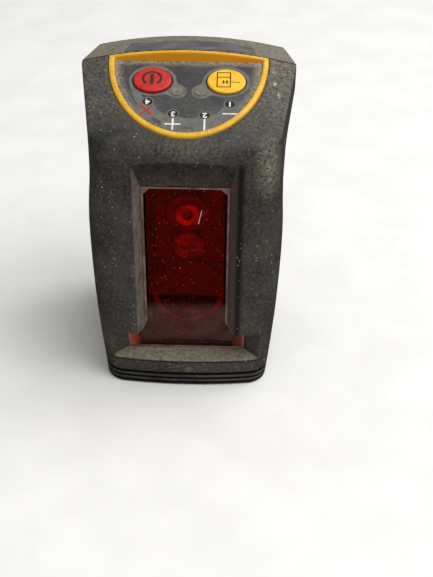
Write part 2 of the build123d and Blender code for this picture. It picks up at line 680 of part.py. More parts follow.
def make_key(x, along):
    """Oval key cap with a hidden flange and a stem down to its switch."""
    flange_under = OVERLAY_THICK + KEY_FLANGE_THICK
    cap = keypad_oval(0, x, along, -OVERLAY_THICK, KEY_PROUD)
    cap = fillet(cap.edges().sort_by(Axis(KEYPAD.origin, KEYPAD.z_dir))[-1:], KEY_ROUND)
    flange = keypad_oval(KEY_FLANGE, x, along, -flange_under, -OVERLAY_THICK)
    return cap + flange + keypad_rod(KEY_STEM_R, x, along, -KEY_STEM_END, -flange_under)


def make_switch_plunger(x, along):
    return keypad_rod(SWITCH_STEM_R, x, along, -SWITCH_TOP - SWITCH_STEM_ROOT, -KEY_STEM_END)


def make_switch_bodies():
    bodies = []
    room = SWITCH_STEM_ROOT + KEY_TRAVEL + KEY_GAP
    for x, along in KEYS:
        body = keypad_box(SWITCH_SIDE, x, along - SWITCH_SIDE / 2, along + SWITCH_SIDE / 2,
                          -KEYPAD_BOARD_DROP, -SWITCH_TOP)
        bodies.append(body - keypad_rod(SWITCH_STEM_R + STEM_GAP, x, along, -SWITCH_TOP - room, -SWITCH_TOP))
    return group(bodies)


def make_indicator_lenses():
    """Two clear light pipes with a collar under the keypad floor."""
    foot = KEYPAD_BOARD_DROP - LED_HEIGHT - LED_GAP
    return group([
        keypad_rod(LENS_R, x, along, -foot, LENS_PROUD)
        + keypad_rod(LENS_COLLAR_R, x, along, -KEYPAD_UNDERSIDE - LENS_COLLAR, -KEYPAD_UNDERSIDE)
        for x, along in LENSES
    ])


def make_indicator_leds():
    top = KEYPAD_BOARD_DROP - LED_HEIGHT
    return group([keypad_rod(LED_R, x, along, -KEYPAD_BOARD_DROP, -top) for x, along in LENSES])


def make_keypad_board():
    board = keypad_box(KEYPAD_BOARD_WIDTH, 0, KEYPAD_BOARD_START, KEYPAD_BOARD_END,
                       -KEYPAD_BOARD_UNDERSIDE, -KEYPAD_BOARD_DROP)
    for x, along in KEYPAD_POSTS:
        board -= keypad_rod(SMALL_SCREW_R + SCREW_GAP, x, along, -KEYPAD_BOARD_UNDERSIDE, -KEYPAD_BOARD_DROP)
    return board


def make_keypad_board_screws():
    inward = tuple(-KEYPAD.z_dir)
    tip = SMALL_SCREW_LENGTH - KEYPAD_BOARD_UNDERSIDE
    return group([
        screw(SMALL_SCREW_R, SMALL_HEAD_R, SMALL_HEAD, on_keypad(x, along, tip),
              on_keypad(x, along, -KEYPAD_BOARD_UNDERSIDE), inward)
        for x, along in KEYPAD_POSTS
    ])


def make_window():
    return tee_plate(WINDOW_Y, GASKET_Y, -WINDOW_GAP)


def make_window_gasket():
    return tee_plate(GASKET_Y, LEDGE_Y, -WINDOW_GAP) - tee_plate(GASKET_Y, LEDGE_Y, -LEDGE_WIDTH)


def make_base_foot():
    foot = foot_form(0, 0, FOOT_HEIGHT)
    foot = chamfer(foot.edges().group_by(Axis.Z)[0], FOOT_BEVEL)
    skin = foot_form(-GROOVE_DEPTH, 0, FOOT_HEIGHT) - foot_form(GROOVE_DEPTH, 0, FOOT_HEIGHT)
    cuts = [
        foot_form(FOOT_WALL, FOOT_FLOOR, FOOT_HEIGHT),
        rod(INSERT_R + INSERT_ACCESS_GAP, (0, 0, 0), (0, 0, FOOT_FLOOR)),
    ]
    for index in range(GROOVE_COUNT):
        top_z = FOOT_HEIGHT - index * GROOVE_PITCH
        cuts.append(skin & between(top_z - GROOVE_HEIGHT, top_z))
    for x, y in BASE_SCREWS:
        cuts.append(rod(BASE_HEAD_R + HEAD_WELL_GAP, (x, y, 0), (x, y, FOOT_FLOOR)))
    return foot - cuts


def make_base_plate():
    plate = foot_form(FOOT_WALL + PLATE_GAP, FOOT_FLOOR, FOOT_HEIGHT)
    plate -= rod(INSERT_R + PRESS_FIT, (0, 0, FOOT_FLOOR), (0, 0, FOOT_HEIGHT))
    for x, y in BASE_SCREWS:
        plate -= rod(BASE_SCREW_R + SCREW_GAP, (x, y, FOOT_FLOOR), (x, y, FOOT_HEIGHT))
        plate -= rod(BASE_HEAD_R + SCREW_GAP, (x, y, FOOT_FLOOR), (x, y, BASE_SEAT_Z))
    return plate


def make_base_screws():
    return group([
        screw(BASE_SCREW_R, BASE_HEAD_R, BASE_HEAD, (x, y, BASE_SCREW_TOP_Z),
              (x, y, BASE_SEAT_Z), (0, 0, -1))
        for x, y in BASE_SCREWS
    ])


def make_tripod_insert():
    barrel = rod(INSERT_R, (0, 0, INSERT_RISE), (0, 0, FOOT_HEIGHT))
    return barrel - rod(INSERT_BORE_R, (0, 0, INSERT_RISE), (0, 0, FOOT_HEIGHT))


def make_battery_tray():
    wall = TRAY_WALL
    tray = block((-TRAY_HALF - wall, TRAY_FRONT_Y - wall, TRAY_BOTTOM_Z - wall),
                 (TRAY_HALF + wall, TRAY_BACK_Y, TRAY_TOP_Z + wall))
    tray -= block((-TRAY_HALF, TRAY_FRONT_Y, TRAY_BOTTOM_Z), (TRAY_HALF, TRAY_BACK_Y, TRAY_TOP_Z))
    for x, z in STANDOFFS:
        tray += rod(STANDOFF_R, (x, BOARD_BACK_Y, z), (x, TRAY_FRONT_Y - wall, z))
        tray -= rod(SMALL_SCREW_R + SCREW_GAP, (x, BOARD_BACK_Y, z),
                    (x, BOARD_FRONT_Y + SMALL_SCREW_LENGTH + SCREW_GAP, z))
    return tray


def cell_places():
    """Each cell's X, and whether its positive end points up."""
    middle = (CELL_COUNT - 1) / 2
    return [((index - middle) * CELL_PITCH, index % 2 == 0) for index in range(CELL_COUNT)]


def make_battery_cells():
    cells = []
    for x, points_up in cell_places():
        can_low = TRAY_BOTTOM_Z + LEAF_HEIGHT
        if not points_up:
            can_low = TRAY_BOTTOM_Z + LEAF_THICK + CONTACT_GAP + CELL_NUB
        can_high = can_low + CELL_LENGTH - CELL_NUB
        nub_z = (can_high, can_high + CELL_NUB) if points_up else (can_low - CELL_NUB, can_low)
        can = rod(CELL_R, (x, CELL_Y, can_low), (x, CELL_Y, can_high))
        cells.append(can + rod(CELL_NUB_R, (x, CELL_Y, nub_z[0]), (x, CELL_Y, nub_z[1])))
    return group(cells)


def make_battery_contacts():
    """Sheet-metal plates at the tray's ends, arched where they press on a cell's flat end."""
    half = CONTACT_WIDTH / 2
    rise = LEAF_HEIGHT - CONTACT_GAP
    arch = make_face(
        ThreePointArc((-LEAF_SPAN / 2, 0), (0, rise), (LEAF_SPAN / 2, 0))
        + Line((LEAF_SPAN / 2, 0), (LEAF_SPAN / 2 - LEAF_THICK, 0))
        + ThreePointArc((LEAF_SPAN / 2 - LEAF_THICK, 0), (0, rise - LEAF_THICK),
                        (LEAF_THICK - LEAF_SPAN / 2, 0))
        + Line((LEAF_THICK - LEAF_SPAN / 2, 0), (-LEAF_SPAN / 2, 0))
    )
    contacts = []
    for x, points_up in cell_places():
        for end_z, up in ((TRAY_BOTTOM_Z, 1), (TRAY_TOP_Z, -1)):
            low_z, high_z = sorted((end_z, end_z + up * LEAF_THICK))
            contact = block((x - half, CELL_Y - half, low_z), (x + half, CELL_Y + half, high_z))
            if points_up == (up > 0):
                leaf = extrude(Plane((x, CELL_Y, end_z), x_dir=(1, 0, 0), z_dir=(0, -up, 0)) * arch,
                               amount=LEAF_DEPTH / 2, both=True)
                contact += leaf
            contacts.append(contact)
    return group(contacts)


def make_battery_door():
    door = block((-DOOR_HALF, REAR_Y - DOOR_THICK, HINGE_Z), (DOOR_HALF, REAR_Y, DOOR_TOP_Z))
    door += rod(KNUCKLE_R, (-DOOR_HALF, HINGE_Y, HINGE_Z), (DOOR_HALF, HINGE_Y, HINGE_Z))
    catch_y = REAR_Y - DOOR_THICK
    door += block((-CATCH_WIDTH / 2, catch_y - CATCH_DEPTH, DOOR_TOP_Z - CATCH_HEIGHT),
                  (CATCH_WIDTH / 2, catch_y, DOOR_TOP_Z - DOOR_GAP))
    bore_r = HINGE_PIN_R + HINGE_PIN_FIT
    return door - rod(bore_r, (-DOOR_HALF, HINGE_Y, HINGE_Z), (DOOR_HALF, HINGE_Y, HINGE_Z))


def make_door_hinge_pin():
    return rod(HINGE_PIN_R, (-HINGE_PIN_HALF, HINGE_Y, HINGE_Z), (HINGE_PIN_HALF, HINGE_Y, HINGE_Z))


def make_main_board():
    half = MAIN_BOARD_WIDTH / 2
    board = block((-half, BOARD_FRONT_Y, BOARD_TOP_Z - MAIN_BOARD_HEIGHT), (half, BOARD_BACK_Y, BOARD_TOP_Z))
    for x, z in STANDOFFS:
        board -= rod(SMALL_SCREW_R + SCREW_GAP, (x, BOARD_FRONT_Y, z), (x, BOARD_BACK_Y, z))
    return board


def make_board_parts():
    """Two chips and the ribbon's connector on the main board's front."""
    half = CHIP_SIDE / 2
    chips = [
        block((x - half, BOARD_FRONT_Y - CHIP_THICK, BOARD_MIDDLE_Z - half),
              (x + half, BOARD_FRONT_Y, BOARD_MIDDLE_Z + half))
        for x in (-CHIP_SIDE, CHIP_SIDE)
    ]
    connector = block(
        (-CONNECTOR_WIDTH / 2, BOARD_FRONT_Y - CONNECTOR_THICK, CONNECTOR_TOP_Z - CONNECTOR_HEIGHT),
        (CONNECTOR_WIDTH / 2, BOARD_FRONT_Y, CONNECTOR_TOP_Z),
    )
    return group(chips + [connector])


def make_board_screws():
    return group([
        screw(SMALL_SCREW_R, SMALL_HEAD_R, SMALL_HEAD, (x, BOARD_FRONT_Y + SMALL_SCREW_LENGTH, z),
              (x, BOARD_FRONT_Y, z), (0, -1, 0))
        for x, z in STANDOFFS
    ])


def make_keypad_ribbon():
    """Flat cable from under the keypad board down to the main board's connector."""
    _, start_y, start_z = on_keypad(0, RIBBON_START, -KEYPAD_BOARD_UNDERSIDE)
    _, turn_y, turn_z = on_keypad(0, RIBBON_START, -KEYPAD_BOARD_UNDERSIDE - RIBBON_DROP)
    end_y = BOARD_FRONT_Y - CONNECTOR_THICK / 2
    points = [(start_y, start_z), (turn_y, turn_z), (end_y, RIBBON_TURN_Z), (end_y, CONNECTOR_TOP_Z)]
    route = FilletPolyline(*points, radius=RIBBON_BEND_R)
    return extrude(Plane.YZ * trace(route, line_width=RIBBON_THICK), amount=RIBBON_WIDTH / 2, both=True)


def make_gimbal_bracket():
    """Cast bridge that hangs from the front shell, with an arm before and behind the ring."""
    front_y = GIMBAL_Y - ARM_REACH - BRACKET_THICK
    back_y = GIMBAL_Y + ARM_REACH + BRACKET_THICK
    bracket = block((-BRACKET_WIDTH / 2, front_y, BRACKET_UNDER_Z),
                    (BRACKET_WIDTH / 2, back_y, BRACKET_TOP_Z))
    for side in SIDES:
        near_y = GIMBAL_Y + side * ARM_REACH
        far_y = near_y + side * BRACKET_THICK
        bracket += block((-ARM_WIDTH / 2, min(near_y, far_y), GIMBAL_Z - ARM_BELOW),
                         (ARM_WIDTH / 2, max(near_y, far_y), BRACKET_UNDER_Z))
        bracket -= rod(BEARING_R + PRESS_FIT, (0, near_y, GIMBAL_Z),
                       (0, near_y + side * BEARING_WIDTH, GIMBAL_Z))
        bracket -= rod(PIVOT_R + PIVOT_CLEAR, (0, near_y, GIMBAL_Z), (0, far_y, GIMBAL_Z))
    for x, y in BRACKET_SCREWS:
        bracket -= rod(SMALL_SCREW_R + SCREW_GAP, (x, y, BRACKET_UNDER_Z), (x, y, BRACKET_TOP_Z))
    return bracket


def make_bracket_screws():
    return group([
        screw(SMALL_SCREW_R, SMALL_HEAD_R, SMALL_HEAD, (x, y, BRACKET_UNDER_Z + BRACKET_SCREW_LENGTH),
              (x, y, BRACKET_UNDER_Z), (0, 0, -1))
        for x, y in BRACKET_SCREWS
    ])


def bearing(start, end):
    return rod(BEARING_R, start, end) - rod(PIVOT_R + PIVOT_FIT, start, end)


def make_roll_bearings():
    return group([
        bearing((0, GIMBAL_Y + side * ARM_REACH, GIMBAL_Z),
                (0, GIMBAL_Y + side * (ARM_REACH + BEARING_WIDTH), GIMBAL_Z))
        for side in SIDES
    ])


def make_roll_pins():
    inner = RING_LENGTH / 2 - RING_WALL
    outer = ARM_REACH + BEARING_WIDTH
    return group([
        rod(PIVOT_R, (0, GIMBAL_Y + side * inner, GIMBAL_Z), (0, GIMBAL_Y + side * outer, GIMBAL_Z))
        for side in SIDES
    ])


def make_gimbal_ring():
    ring = Pos(0, GIMBAL_Y, GIMBAL_Z) * Box(RING_WIDTH, RING_LENGTH, RING_HEIGHT)
    inside = Box(RING_WIDTH - 2 * RING_WALL, RING_LENGTH - 2 * RING_WALL, RING_HEIGHT)
    ring -= Pos(0, GIMBAL_Y, GIMBAL_Z) * inside
    ring -= rod(PIVOT_R + PRESS_FIT, (0, GIMBAL_Y - RING_LENGTH, GIMBAL_Z),
                (0, GIMBAL_Y + RING_LENGTH, GIMBAL_Z))
    ring -= rod(PIVOT_R + PIVOT_CLEAR, (-RING_WIDTH, GIMBAL_Y, GIMBAL_Z), (RING_WIDTH, GIMBAL_Y, GIMBAL_Z))
    seat = PITCH_BEARING_X + BEARING_WIDTH
    ring -= rod(BEARING_R + PRESS_FIT, (-seat, GIMBAL_Y, GIMBAL_Z), (seat, GIMBAL_Y, GIMBAL_Z))
    return ring


def make_pitch_bearings():
    return group([
        bearing((side * PITCH_BEARING_X, GIMBAL_Y, GIMBAL_Z),
                (side * (PITCH_BEARING_X + BEARING_WIDTH), GIMBAL_Y, GIMBAL_Z))
        for side in SIDES
    ])


def make_pitch_pin():
    half = PITCH_BEARING_X + BEARING_WIDTH
    return rod(PIVOT_R, (-half, GIMBAL_Y, GIMBAL_Z), (half, GIMBAL_Y, GIMBAL_Z))


def make_pendulum_body():
    """Cast pendulum: a hanger in the ring, a plate below it and a round bob at the bottom."""
    half = HANGER_WIDTH / 2
    body = block((-half, HANGER_FRONT_Y, PLATE_TOP_Z), (half, HANGER_BACK_Y, GIMBAL_Z + HANGER_ABOVE))
    body += block((-PLATE_WIDTH / 2, HANGER_FRONT_Y, BOB_Z), (PLATE_WIDTH / 2, HANGER_BACK_Y, PLATE_TOP_Z))
    body += rod(UPPER_SEAT_R, (0, UPPER_SEAT_FRONT_Y, UPPER_BEAM_Z), (0, HANGER_BACK_Y, UPPER_BEAM_Z))
    body += rod(BOB_R, (0, BOB_FRONT_Y, BOB_Z), (0, BOB_BACK_Y, BOB_Z))
    body -= rod(PIVOT_R + PRESS_FIT, (-half, GIMBAL_Y, GIMBAL_Z), (half, GIMBAL_Y, GIMBAL_Z))
    for start_y, z in LASERS:
        body -= rod(LASER_R + LASER_FIT, (0, start_y, z), (0, start_y + LASER_LENGTH, z))
    body -= rod(BALANCE_STUD_R + LASER_FIT, (0, HANGER_FRONT_Y, BALANCE_Z), (0, HANGER_BACK_Y, BALANCE_Z))
    for side in SIDES:
        body -= rod(TRIM_R + LASER_FIT, (side * TRIM_X, GIMBAL_Y, TRIM_Z),
                    (side * PLATE_WIDTH, GIMBAL_Y, TRIM_Z))
    for x, y in MAGNETS:
        body -= rod(MAGNET_R + LASER_FIT, (x, y, 0), (x, y, MAGNET_LOW_Z + MAGNET_HEIGHT))
    return body


def make_laser_barrel(start_y, z):
    """Laser module: a brass tube with a stepped aperture at its front."""
    barrel = rod(LASER_R, (0, start_y, z), (0, start_y + LASER_LENGTH, z))
    return barrel - rod(APERTURE_R, (0, start_y, z), (0, start_y + APERTURE_DEPTH, z))


def make_upper_line_lens():
    """Glass rod lying across the aperture, which spreads the beam upright."""
    y = LASERS[0][0] + APERTURE_DEPTH - LINE_LENS_R
    half = LINE_LENS_LENGTH / 2
    return rod(LINE_LENS_R, (-half, y, UPPER_BEAM_Z), (half, y, UPPER_BEAM_Z))


def make_lower_line_lens():
    """Glass rod standing in the aperture, which spreads the beam sideways."""
    y = LASERS[1][0] + APERTURE_DEPTH - LINE_LENS_R
    half = LINE_LENS_LENGTH / 2
    return rod(LINE_LENS_R, (0, y, LOWER_BEAM_Z - half), (0, y, LOWER_BEAM_Z + half))


def make_balance_weight():
    face_y = HANGER_FRONT_Y - BALANCE_THICK
    weight = rod(BALANCE_R, (0, face_y, BALANCE_Z), (0, HANGER_FRONT_Y, BALANCE_Z))
    weight += rod(BALANCE_STUD_R, (0, HANGER_FRONT_Y, BALANCE_Z),
                  (0, HANGER_BACK_Y + BALANCE_STUD_PROUD, BALANCE_Z))
    return weight - rod(BALANCE_SOCKET_R, (0, face_y, BALANCE_Z),
                        (0, face_y + BALANCE_SOCKET_DEPTH, BALANCE_Z))


def make_trim_screws():
    return group([
        rod(TRIM_R, (side * TRIM_X, GIMBAL_Y, TRIM_Z), (side * (TRIM_X + TRIM_LENGTH), GIMBAL_Y, TRIM_Z))
        for side in SIDES
    ])


def make_damping_magnets():
    return group([
        rod(MAGNET_R, (x, y, MAGNET_LOW_Z), (x, y, MAGNET_LOW_Z + MAGNET_HEIGHT)) for x, y in MAGNETS
    ])


def make_damping_plate():
    return block((-DAMPER_WIDTH / 2, GIMBAL_Y - DAMPER_LENGTH / 2, FLOOR_Z),
                 (DAMPER_WIDTH / 2, GIMBAL_Y + DAMPER_LENGTH / 2, FLOOR_Z + DAMPER_THICK))


PARTS = {
    "front_shell": make_front_shell(),
    "rear_shell": make_rear_shell(),
    "housing_seal": make_housing_seal(),
    "housing_screws": make_housing_screws(),
    "keypad_bezel": make_keypad_bezel(),
    "keypad_overlay": make_keypad_overlay(),
    "power_key": make_key(*KEYS[0]),
    "pulse_key": make_key(*KEYS[1]),
    "power_switch_plunger": make_switch_plunger(*KEYS[0]),
    "pulse_switch_plunger": make_switch_plunger(*KEYS[1]),
    "switch_bodies": make_switch_bodies(),
    "indicator_lenses": make_indicator_lenses(),
    "indicator_leds": make_indicator_leds(),
    "keypad_board": make_keypad_board(),
    "keypad_board_screws": make_keypad_board_screws(),
    "keypad_ribbon": make_keypad_ribbon(),
    "window": make_window(),
    "window_gasket": make_window_gasket(),
    "name_plate": inlay(INLAY_SUNK, INLAY_DEPTH, INLAY_GAP),
    "base_foot": make_base_foot(),
    "base_plate": make_base_plate(),
    "base_screws": make_base_screws(),
    "tripod_insert": make_tripod_insert(),
    "battery_tray": make_battery_tray(),
    "battery_cells": make_battery_cells(),
    "battery_contacts": make_battery_contacts(),
    "battery_door": make_battery_door(),
    "door_hinge_pin": make_door_hinge_pin(),
    "main_board": make_main_board(),
    "board_parts": make_board_parts(),
    "board_screws": make_board_screws(),
    "gimbal_bracket": make_gimbal_bracket(),
    "bracket_screws": make_bracket_screws(),
    "roll_bearings": make_roll_bearings(),
    "roll_pins": make_roll_pins(),
    "gimbal_ring": make_gimbal_ring(),
    "pitch_bearings": make_pitch_bearings(),
    "pitch_pin": make_pitch_pin(),
    "pendulum_body": make_pendulum_body(),
    "upper_laser_barrel": make_laser_barrel(*LASERS[0]),
    "upper_line_lens": make_upper_line_lens(),
    "lower_laser_barrel": make_laser_barrel(*LASERS[1]),
    "lower_line_lens": make_lower_line_lens(),
    "balance_weight": make_balance_weight(),
    "trim_screws": make_trim_screws(),
    "damping_magnets": make_damping_magnets(),
    "damping_plate": make_damping_plate(),
}

os.makedirs("parts", exist_ok=True)
for name, part in PARTS.items():
    export_step(part, f"parts/{name}.step")
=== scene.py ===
import json
import math

import bpy
import numpy as np
from mathutils import Matrix, Vector

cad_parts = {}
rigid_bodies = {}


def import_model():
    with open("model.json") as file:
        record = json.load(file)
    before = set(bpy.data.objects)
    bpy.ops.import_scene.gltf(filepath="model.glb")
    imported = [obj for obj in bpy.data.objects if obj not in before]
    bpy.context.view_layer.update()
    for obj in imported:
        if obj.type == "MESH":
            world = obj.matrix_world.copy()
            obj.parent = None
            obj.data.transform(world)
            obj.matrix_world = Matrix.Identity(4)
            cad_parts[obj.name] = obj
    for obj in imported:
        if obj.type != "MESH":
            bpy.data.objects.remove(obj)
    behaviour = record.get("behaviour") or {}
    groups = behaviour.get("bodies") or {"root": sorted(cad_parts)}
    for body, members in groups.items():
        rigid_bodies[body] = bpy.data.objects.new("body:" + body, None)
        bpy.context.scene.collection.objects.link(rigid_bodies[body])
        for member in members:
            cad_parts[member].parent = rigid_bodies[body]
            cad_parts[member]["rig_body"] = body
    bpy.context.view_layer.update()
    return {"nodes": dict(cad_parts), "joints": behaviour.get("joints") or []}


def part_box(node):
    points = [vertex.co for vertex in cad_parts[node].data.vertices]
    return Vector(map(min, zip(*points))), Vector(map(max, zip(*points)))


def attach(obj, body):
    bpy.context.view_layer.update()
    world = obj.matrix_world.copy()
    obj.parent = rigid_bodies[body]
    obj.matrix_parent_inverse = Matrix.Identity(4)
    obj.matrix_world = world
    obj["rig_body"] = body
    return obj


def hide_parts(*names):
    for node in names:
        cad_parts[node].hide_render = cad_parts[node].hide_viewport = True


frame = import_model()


# Rubber foot
# Nitrile rubber, compression moulded with three grooves round it, and stretched over the base plate.
# It is the darkest part of the tool, with grey dust in its pores, and its grooves are darkened with painted
# shade.
FOOT_VOXEL_MM = 0.25
FOOT_ROUNDING = 2
FOOT_KEPT = 0.3
GROOVES = 3
GROOVE_TOP_MM = 6.4
GROOVE_PITCH_MM = 2.25
GROOVE_HEIGHT_MM = 1.0
RUBBER_DARK = "#2b2b29"
RUBBER_LIGHT = "#45443f"
RUBBER_DUST = "#645f54"
RUBBER_GROOVE_SHADE = "#0b0b0a"
RUBBER_PORE_MM = 0.8
RUBBER_PATCH_MM = 14.0
RUBBER_ROUGH = 0.75


def work(piece, kind, **settings):
    """Apply one mesh tool to a piece for good."""
    tool = piece.modifiers.new(kind, kind)
    for key, value in settings.items():
        setattr(tool, key, value)
    graph = bpy.context.evaluated_depsgraph_get()
    piece.data, old = bpy.data.meshes.new_from_object(piece.evaluated_get(graph)), piece.data
    piece.modifiers.clear()
    bpy.data.meshes.remove(old)


def soften(node, voxel_mm, passes):
    """Copy a CAD piece with its edges rounded, as a mould or a casting leaves them."""
    source = frame["nodes"][node]
    piece = bpy.data.objects.new(node + "_finished", source.data.copy())
    bpy.context.scene.collection.objects.link(piece)
    work(piece, "REMESH", mode="VOXEL", voxel_size=voxel_mm / 1000)
    work(piece, "SMOOTH", factor=0.5, iterations=passes)
    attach(piece, source["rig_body"])
    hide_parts(node)
    return piece


def dress(material, *pieces):
    """Give pieces, or CAD nodes by name, one finish all over."""
    for piece in pieces:
        if isinstance(piece, str):
            for slot in frame["nodes"][piece].material_slots:
                slot.material = material
        else:
            piece.data.materials.clear()
            piece.data.materials.append(material)
            piece.data.shade_smooth()


def linear(hex_colour):
    """Linear RGBA of an sRGB hex colour."""
    channels = [int(hex_colour[at:at + 2], 16) / 255 for at in (1, 3, 5)]
    return [c / 12.92 if c <= 0.04045 else ((c + 0.055) / 1.055) ** 2.4 for c in channels] + [1.0]


def per_metre(size_mm):
    """Pattern scale that repeats about once in the given size."""
    return 1000 / size_mm


def blank(name):
    material = bpy.data.materials.new(name)
    material.use_nodes = True
    material.node_tree.nodes.clear()
    return material


def add(material, kind, sockets=(), out=0, **settings):
    """Add a node. A socket takes a value or another node's output; one output comes back."""
    node = material.node_tree.nodes.new("ShaderNode" + kind)
    for key, value in settings.items():
        setattr(node, key, value)
    for key, value in dict(sockets).items():
        if isinstance(value, bpy.types.NodeSocket):
            material.node_tree.links.new(value, node.inputs[key])
        else:
            node.inputs[key].default_value = value
    return node.outputs[out] if node.outputs else None


def patches(material, size_mm, low, high, most=1.0, detail=4.0, stretch=(1, 1, 1)):
    """Mask of soft-edged blotches of about the given size, from 0 up to the most."""
    place = add(material, "TexCoord", out="Object")
    place = add(material, "Mapping", {"Vector": place, "Scale": stretch})
    cloud = add(material, "TexNoise", {"Vector": place, "Scale": per_metre(size_mm), "Detail": detail})
    return add(material, "MapRange", {"Value": cloud, "From Min": low, "From Max": high, "To Max": most})


def along(material, axis, start_mm, end_mm):
    """Mask that rises from 0 at one place on an axis to 1 at another."""
    place = add(material, "TexCoord", out="Object")
    distance = add(material, "SeparateXYZ", {"Vector": place}, out=axis)
    ends = {"From Min": start_mm / 1000, "From Max": end_mm / 1000}
    return add(material, "MapRange", {"Value": distance, **ends})


def band(material, axis, rise_mm, fall_mm):
    """Two masks that meet in a strip: one rises at its start and one falls at its end."""
    return along(material, axis, *rise_mm), along(material, axis, *fall_mm)


def coat(material, tone, colour, *masks):
    """Lay a colour over a tone where all the masks meet."""
    mask = masks[0]
    for other in masks[1:]:
        mask = add(material, "Math", {0: mask, 1: other}, operation="MULTIPLY")
    tone, colour = (linear(c) if isinstance(c, str) else c for c in (tone, colour))
    return add(material, "Mix", {0: mask, 6: tone, 7: colour}, out=2, data_type="RGBA")


def surface(material, sockets, height=None, depth_mm=0.0):
    """Close a material with its shader, with relief of the given depth where a height is given."""
    if height is not None:
        lift = add(material, "Bump", {"Height": height, "Distance": depth_mm / 1000, "Strength": 1.0})
        sockets = {**sockets, "Normal": lift}
    add(material, "OutputMaterial", {"Surface": add(material, "BsdfPrincipled", sockets)})
    return material


def moulded_rubber():
    """Matt black rubber that has greyed: broad tone shifts, dust in fine pores, grooves darkened with painted
    shade.
    """
    rubber = blank("moulded_nitrile_rubber")
    tone = coat(rubber, RUBBER_DARK, RUBBER_LIGHT, patches(rubber, RUBBER_PATCH_MM, 0.35, 0.7))
    pores = patches(rubber, RUBBER_PORE_MM, 0.45, 0.7, detail=2.0)
    tone = coat(rubber, tone, RUBBER_DUST, pores, patches(rubber, RUBBER_PATCH_MM / 2, 0.4, 0.8))
    # Painted shade: a black band at the height of each groove, where the groove lies in shadow.
    for index in range(GROOVES):
        top = GROOVE_TOP_MM - index * GROOVE_PITCH_MM
        low = top - GROOVE_HEIGHT_MM
        groove = band(rubber, "Z", (low - 0.1, low + 0.1), (top + 0.1, top - 0.1))
        tone = coat(rubber, tone, RUBBER_GROOVE_SHADE, *groove)
    return surface(rubber, {"Base Color": tone, "Roughness": RUBBER_ROUGH, "IOR": 1.52,
                            "Specular IOR Level": 0.25}, pores, 0.03)


foot = soften("base_foot", FOOT_VOXEL_MM, FOOT_ROUNDING)
work(foot, "DECIMATE", ratio=FOOT_KEPT)
rubber = moulded_rubber()
dress(rubber, foot)
dress(rubber, "housing_seal")


# Base plate, tripod insert and base screws
# A glass-filled nylon plate with a knurled brass insert pressed in and four plated screws up through it.
# Only their undersides show, dull from standing on site floors.
NYLON_DARK = "#1b1b1b"
NYLON_LIGHT = "#2d2d2c"
NYLON_GRAIN_MM = 0.6
BRASS_BRIGHT = "#d8b061"
BRASS_DULL = "#8a6a32"
BRASS_TARNISH_MM = 5.0
STEEL_BRIGHT = "#b9bbbd"
STEEL_DULL = "#6f7072"
STEEL_STAIN_MM = 3.0


def moulded_nylon():
    """Near-black engineering plastic with the fine orange peel of its mould."""
    nylon = blank("moulded_black_nylon")
    grain = patches(nylon, NYLON_GRAIN_MM, 0.3, 0.7)
    tone = coat(nylon, NYLON_DARK, NYLON_LIGHT, grain)
    return surface(nylon, {"Base Color": tone, "Roughness": 0.5, "IOR": 1.53}, grain, 0.02)


def turned_metal(name, bright, dull, stain_mm, rough):
    """Lathe-turned metal: bright where it is handled, dull and rougher where it has tarnished."""
    metal = blank(name)
    stain = patches(metal, stain_mm, 0.4, 0.65)
    tone = coat(metal, bright, dull, stain)
    gloss = add(metal, "MapRange", {"Value": stain, "To Min": rough, "To Max": rough + 0.25})
    return surface(metal, {"Base Color": tone, "Metallic": 1.0, "Roughness": gloss})


nylon = moulded_nylon()
brass = turned_metal("turned_brass", BRASS_BRIGHT, BRASS_DULL, BRASS_TARNISH_MM, 0.22)
steel = turned_metal("zinc_plated_steel", STEEL_BRIGHT, STEEL_DULL, STEEL_STAIN_MM, 0.28)
dress(nylon, "base_plate")
dress(brass, "tripod_insert")
dress(steel, "base_screws")


# Housing shells
# Two injection moulded ABS shells, matt charcoal grey, screwed together at a seam behind the keypad.
# Years on site have left dust on every ledge, white flecks, rubbed edges, scuffs and a few deep nicks.
SHELL_VOXEL_MM = 0.5
SHELL_ROUNDING = 6
SHELL_KEPT = 0.3
MOUTH_ROUNDING = 4
MOUTH_DEPTH_MM = 3.5
MOUTH_BESIDE_MM = 12.0
MOUTH_TOP_SHARE = 0.86
ABS_DARK = "#282828"
ABS_LIGHT = "#3d3d39"
ABS_RUBBED = "#6d6a62"
ABS_DUST = "#988f7e"
ABS_EARTH = "#6a604e"
ABS_GRIME_AND_SHADE = "#171614"
ABS_SPECK = "#d9d4c6"
ABS_MOTTLE_MM = 16.0
ABS_CLOUD_MM = 4.0
ABS_FINE_MM = 1.1
ABS_GRAIN_MM = 0.7
ABS_SPECK_MM = 0.9
ABS_SCRATCH_MM = 2.4
SCRATCH_STRETCH = (1.0, 1.0, 0.06)
SEAM_MM = 7.0
WINDOW_FACE_MM = -30.0
SILL_TOP_MM = 16.0
SILL_EDGE_MM = 12.6
TOP_DUST_Y_MM = (-34, 2)
RIGHT_DUST_X_MM = (0, 30)
SLOPE_EARTH_Z_MM = (106, 93)
LEFT_WALL_X_MM = ((-15, -16), (-22.5, -21))
RIGHT_WALL_X_MM = ((15, 16), (22, 20.5))
RIGHT_EDGE_SHADE_X_MM = ((19.2, 20.5), (23, 21.5))
RIGHT_EDGE_SHADE_Z_MM = ((109, 104), (22, 26))
SCUFF = ((31.3, -34.7, 104.0), (6.5, 9.0, 16.0))
SHADED_SHOULDER = ((-27.5, -30.0, 114.5), (13.0, 9.0, 9.0))
LEDGE = ((1.0, -37.0, 111.5), (20.0, 5.0, 7.0))
NICKS = (((26.7, -27.1, 116.2), (1.0, 0.7, 0.9)), ((28.5, -25.9, 116.5), (0.8, 0.9, 0.9)))
SCRAPES = (((32.6, 0.6, 126.0), (1.4, 1.2, 1.0)), ((33.1, -5.1, 123.7), (0.9, 1.6, 1.0)),
           ((34.6, -10.6, 121.4), (0.8, 2.2, 1.2)))
STAIN = ((1.4, -38.0, 8.9), (2.6, 3.0, 1.9))


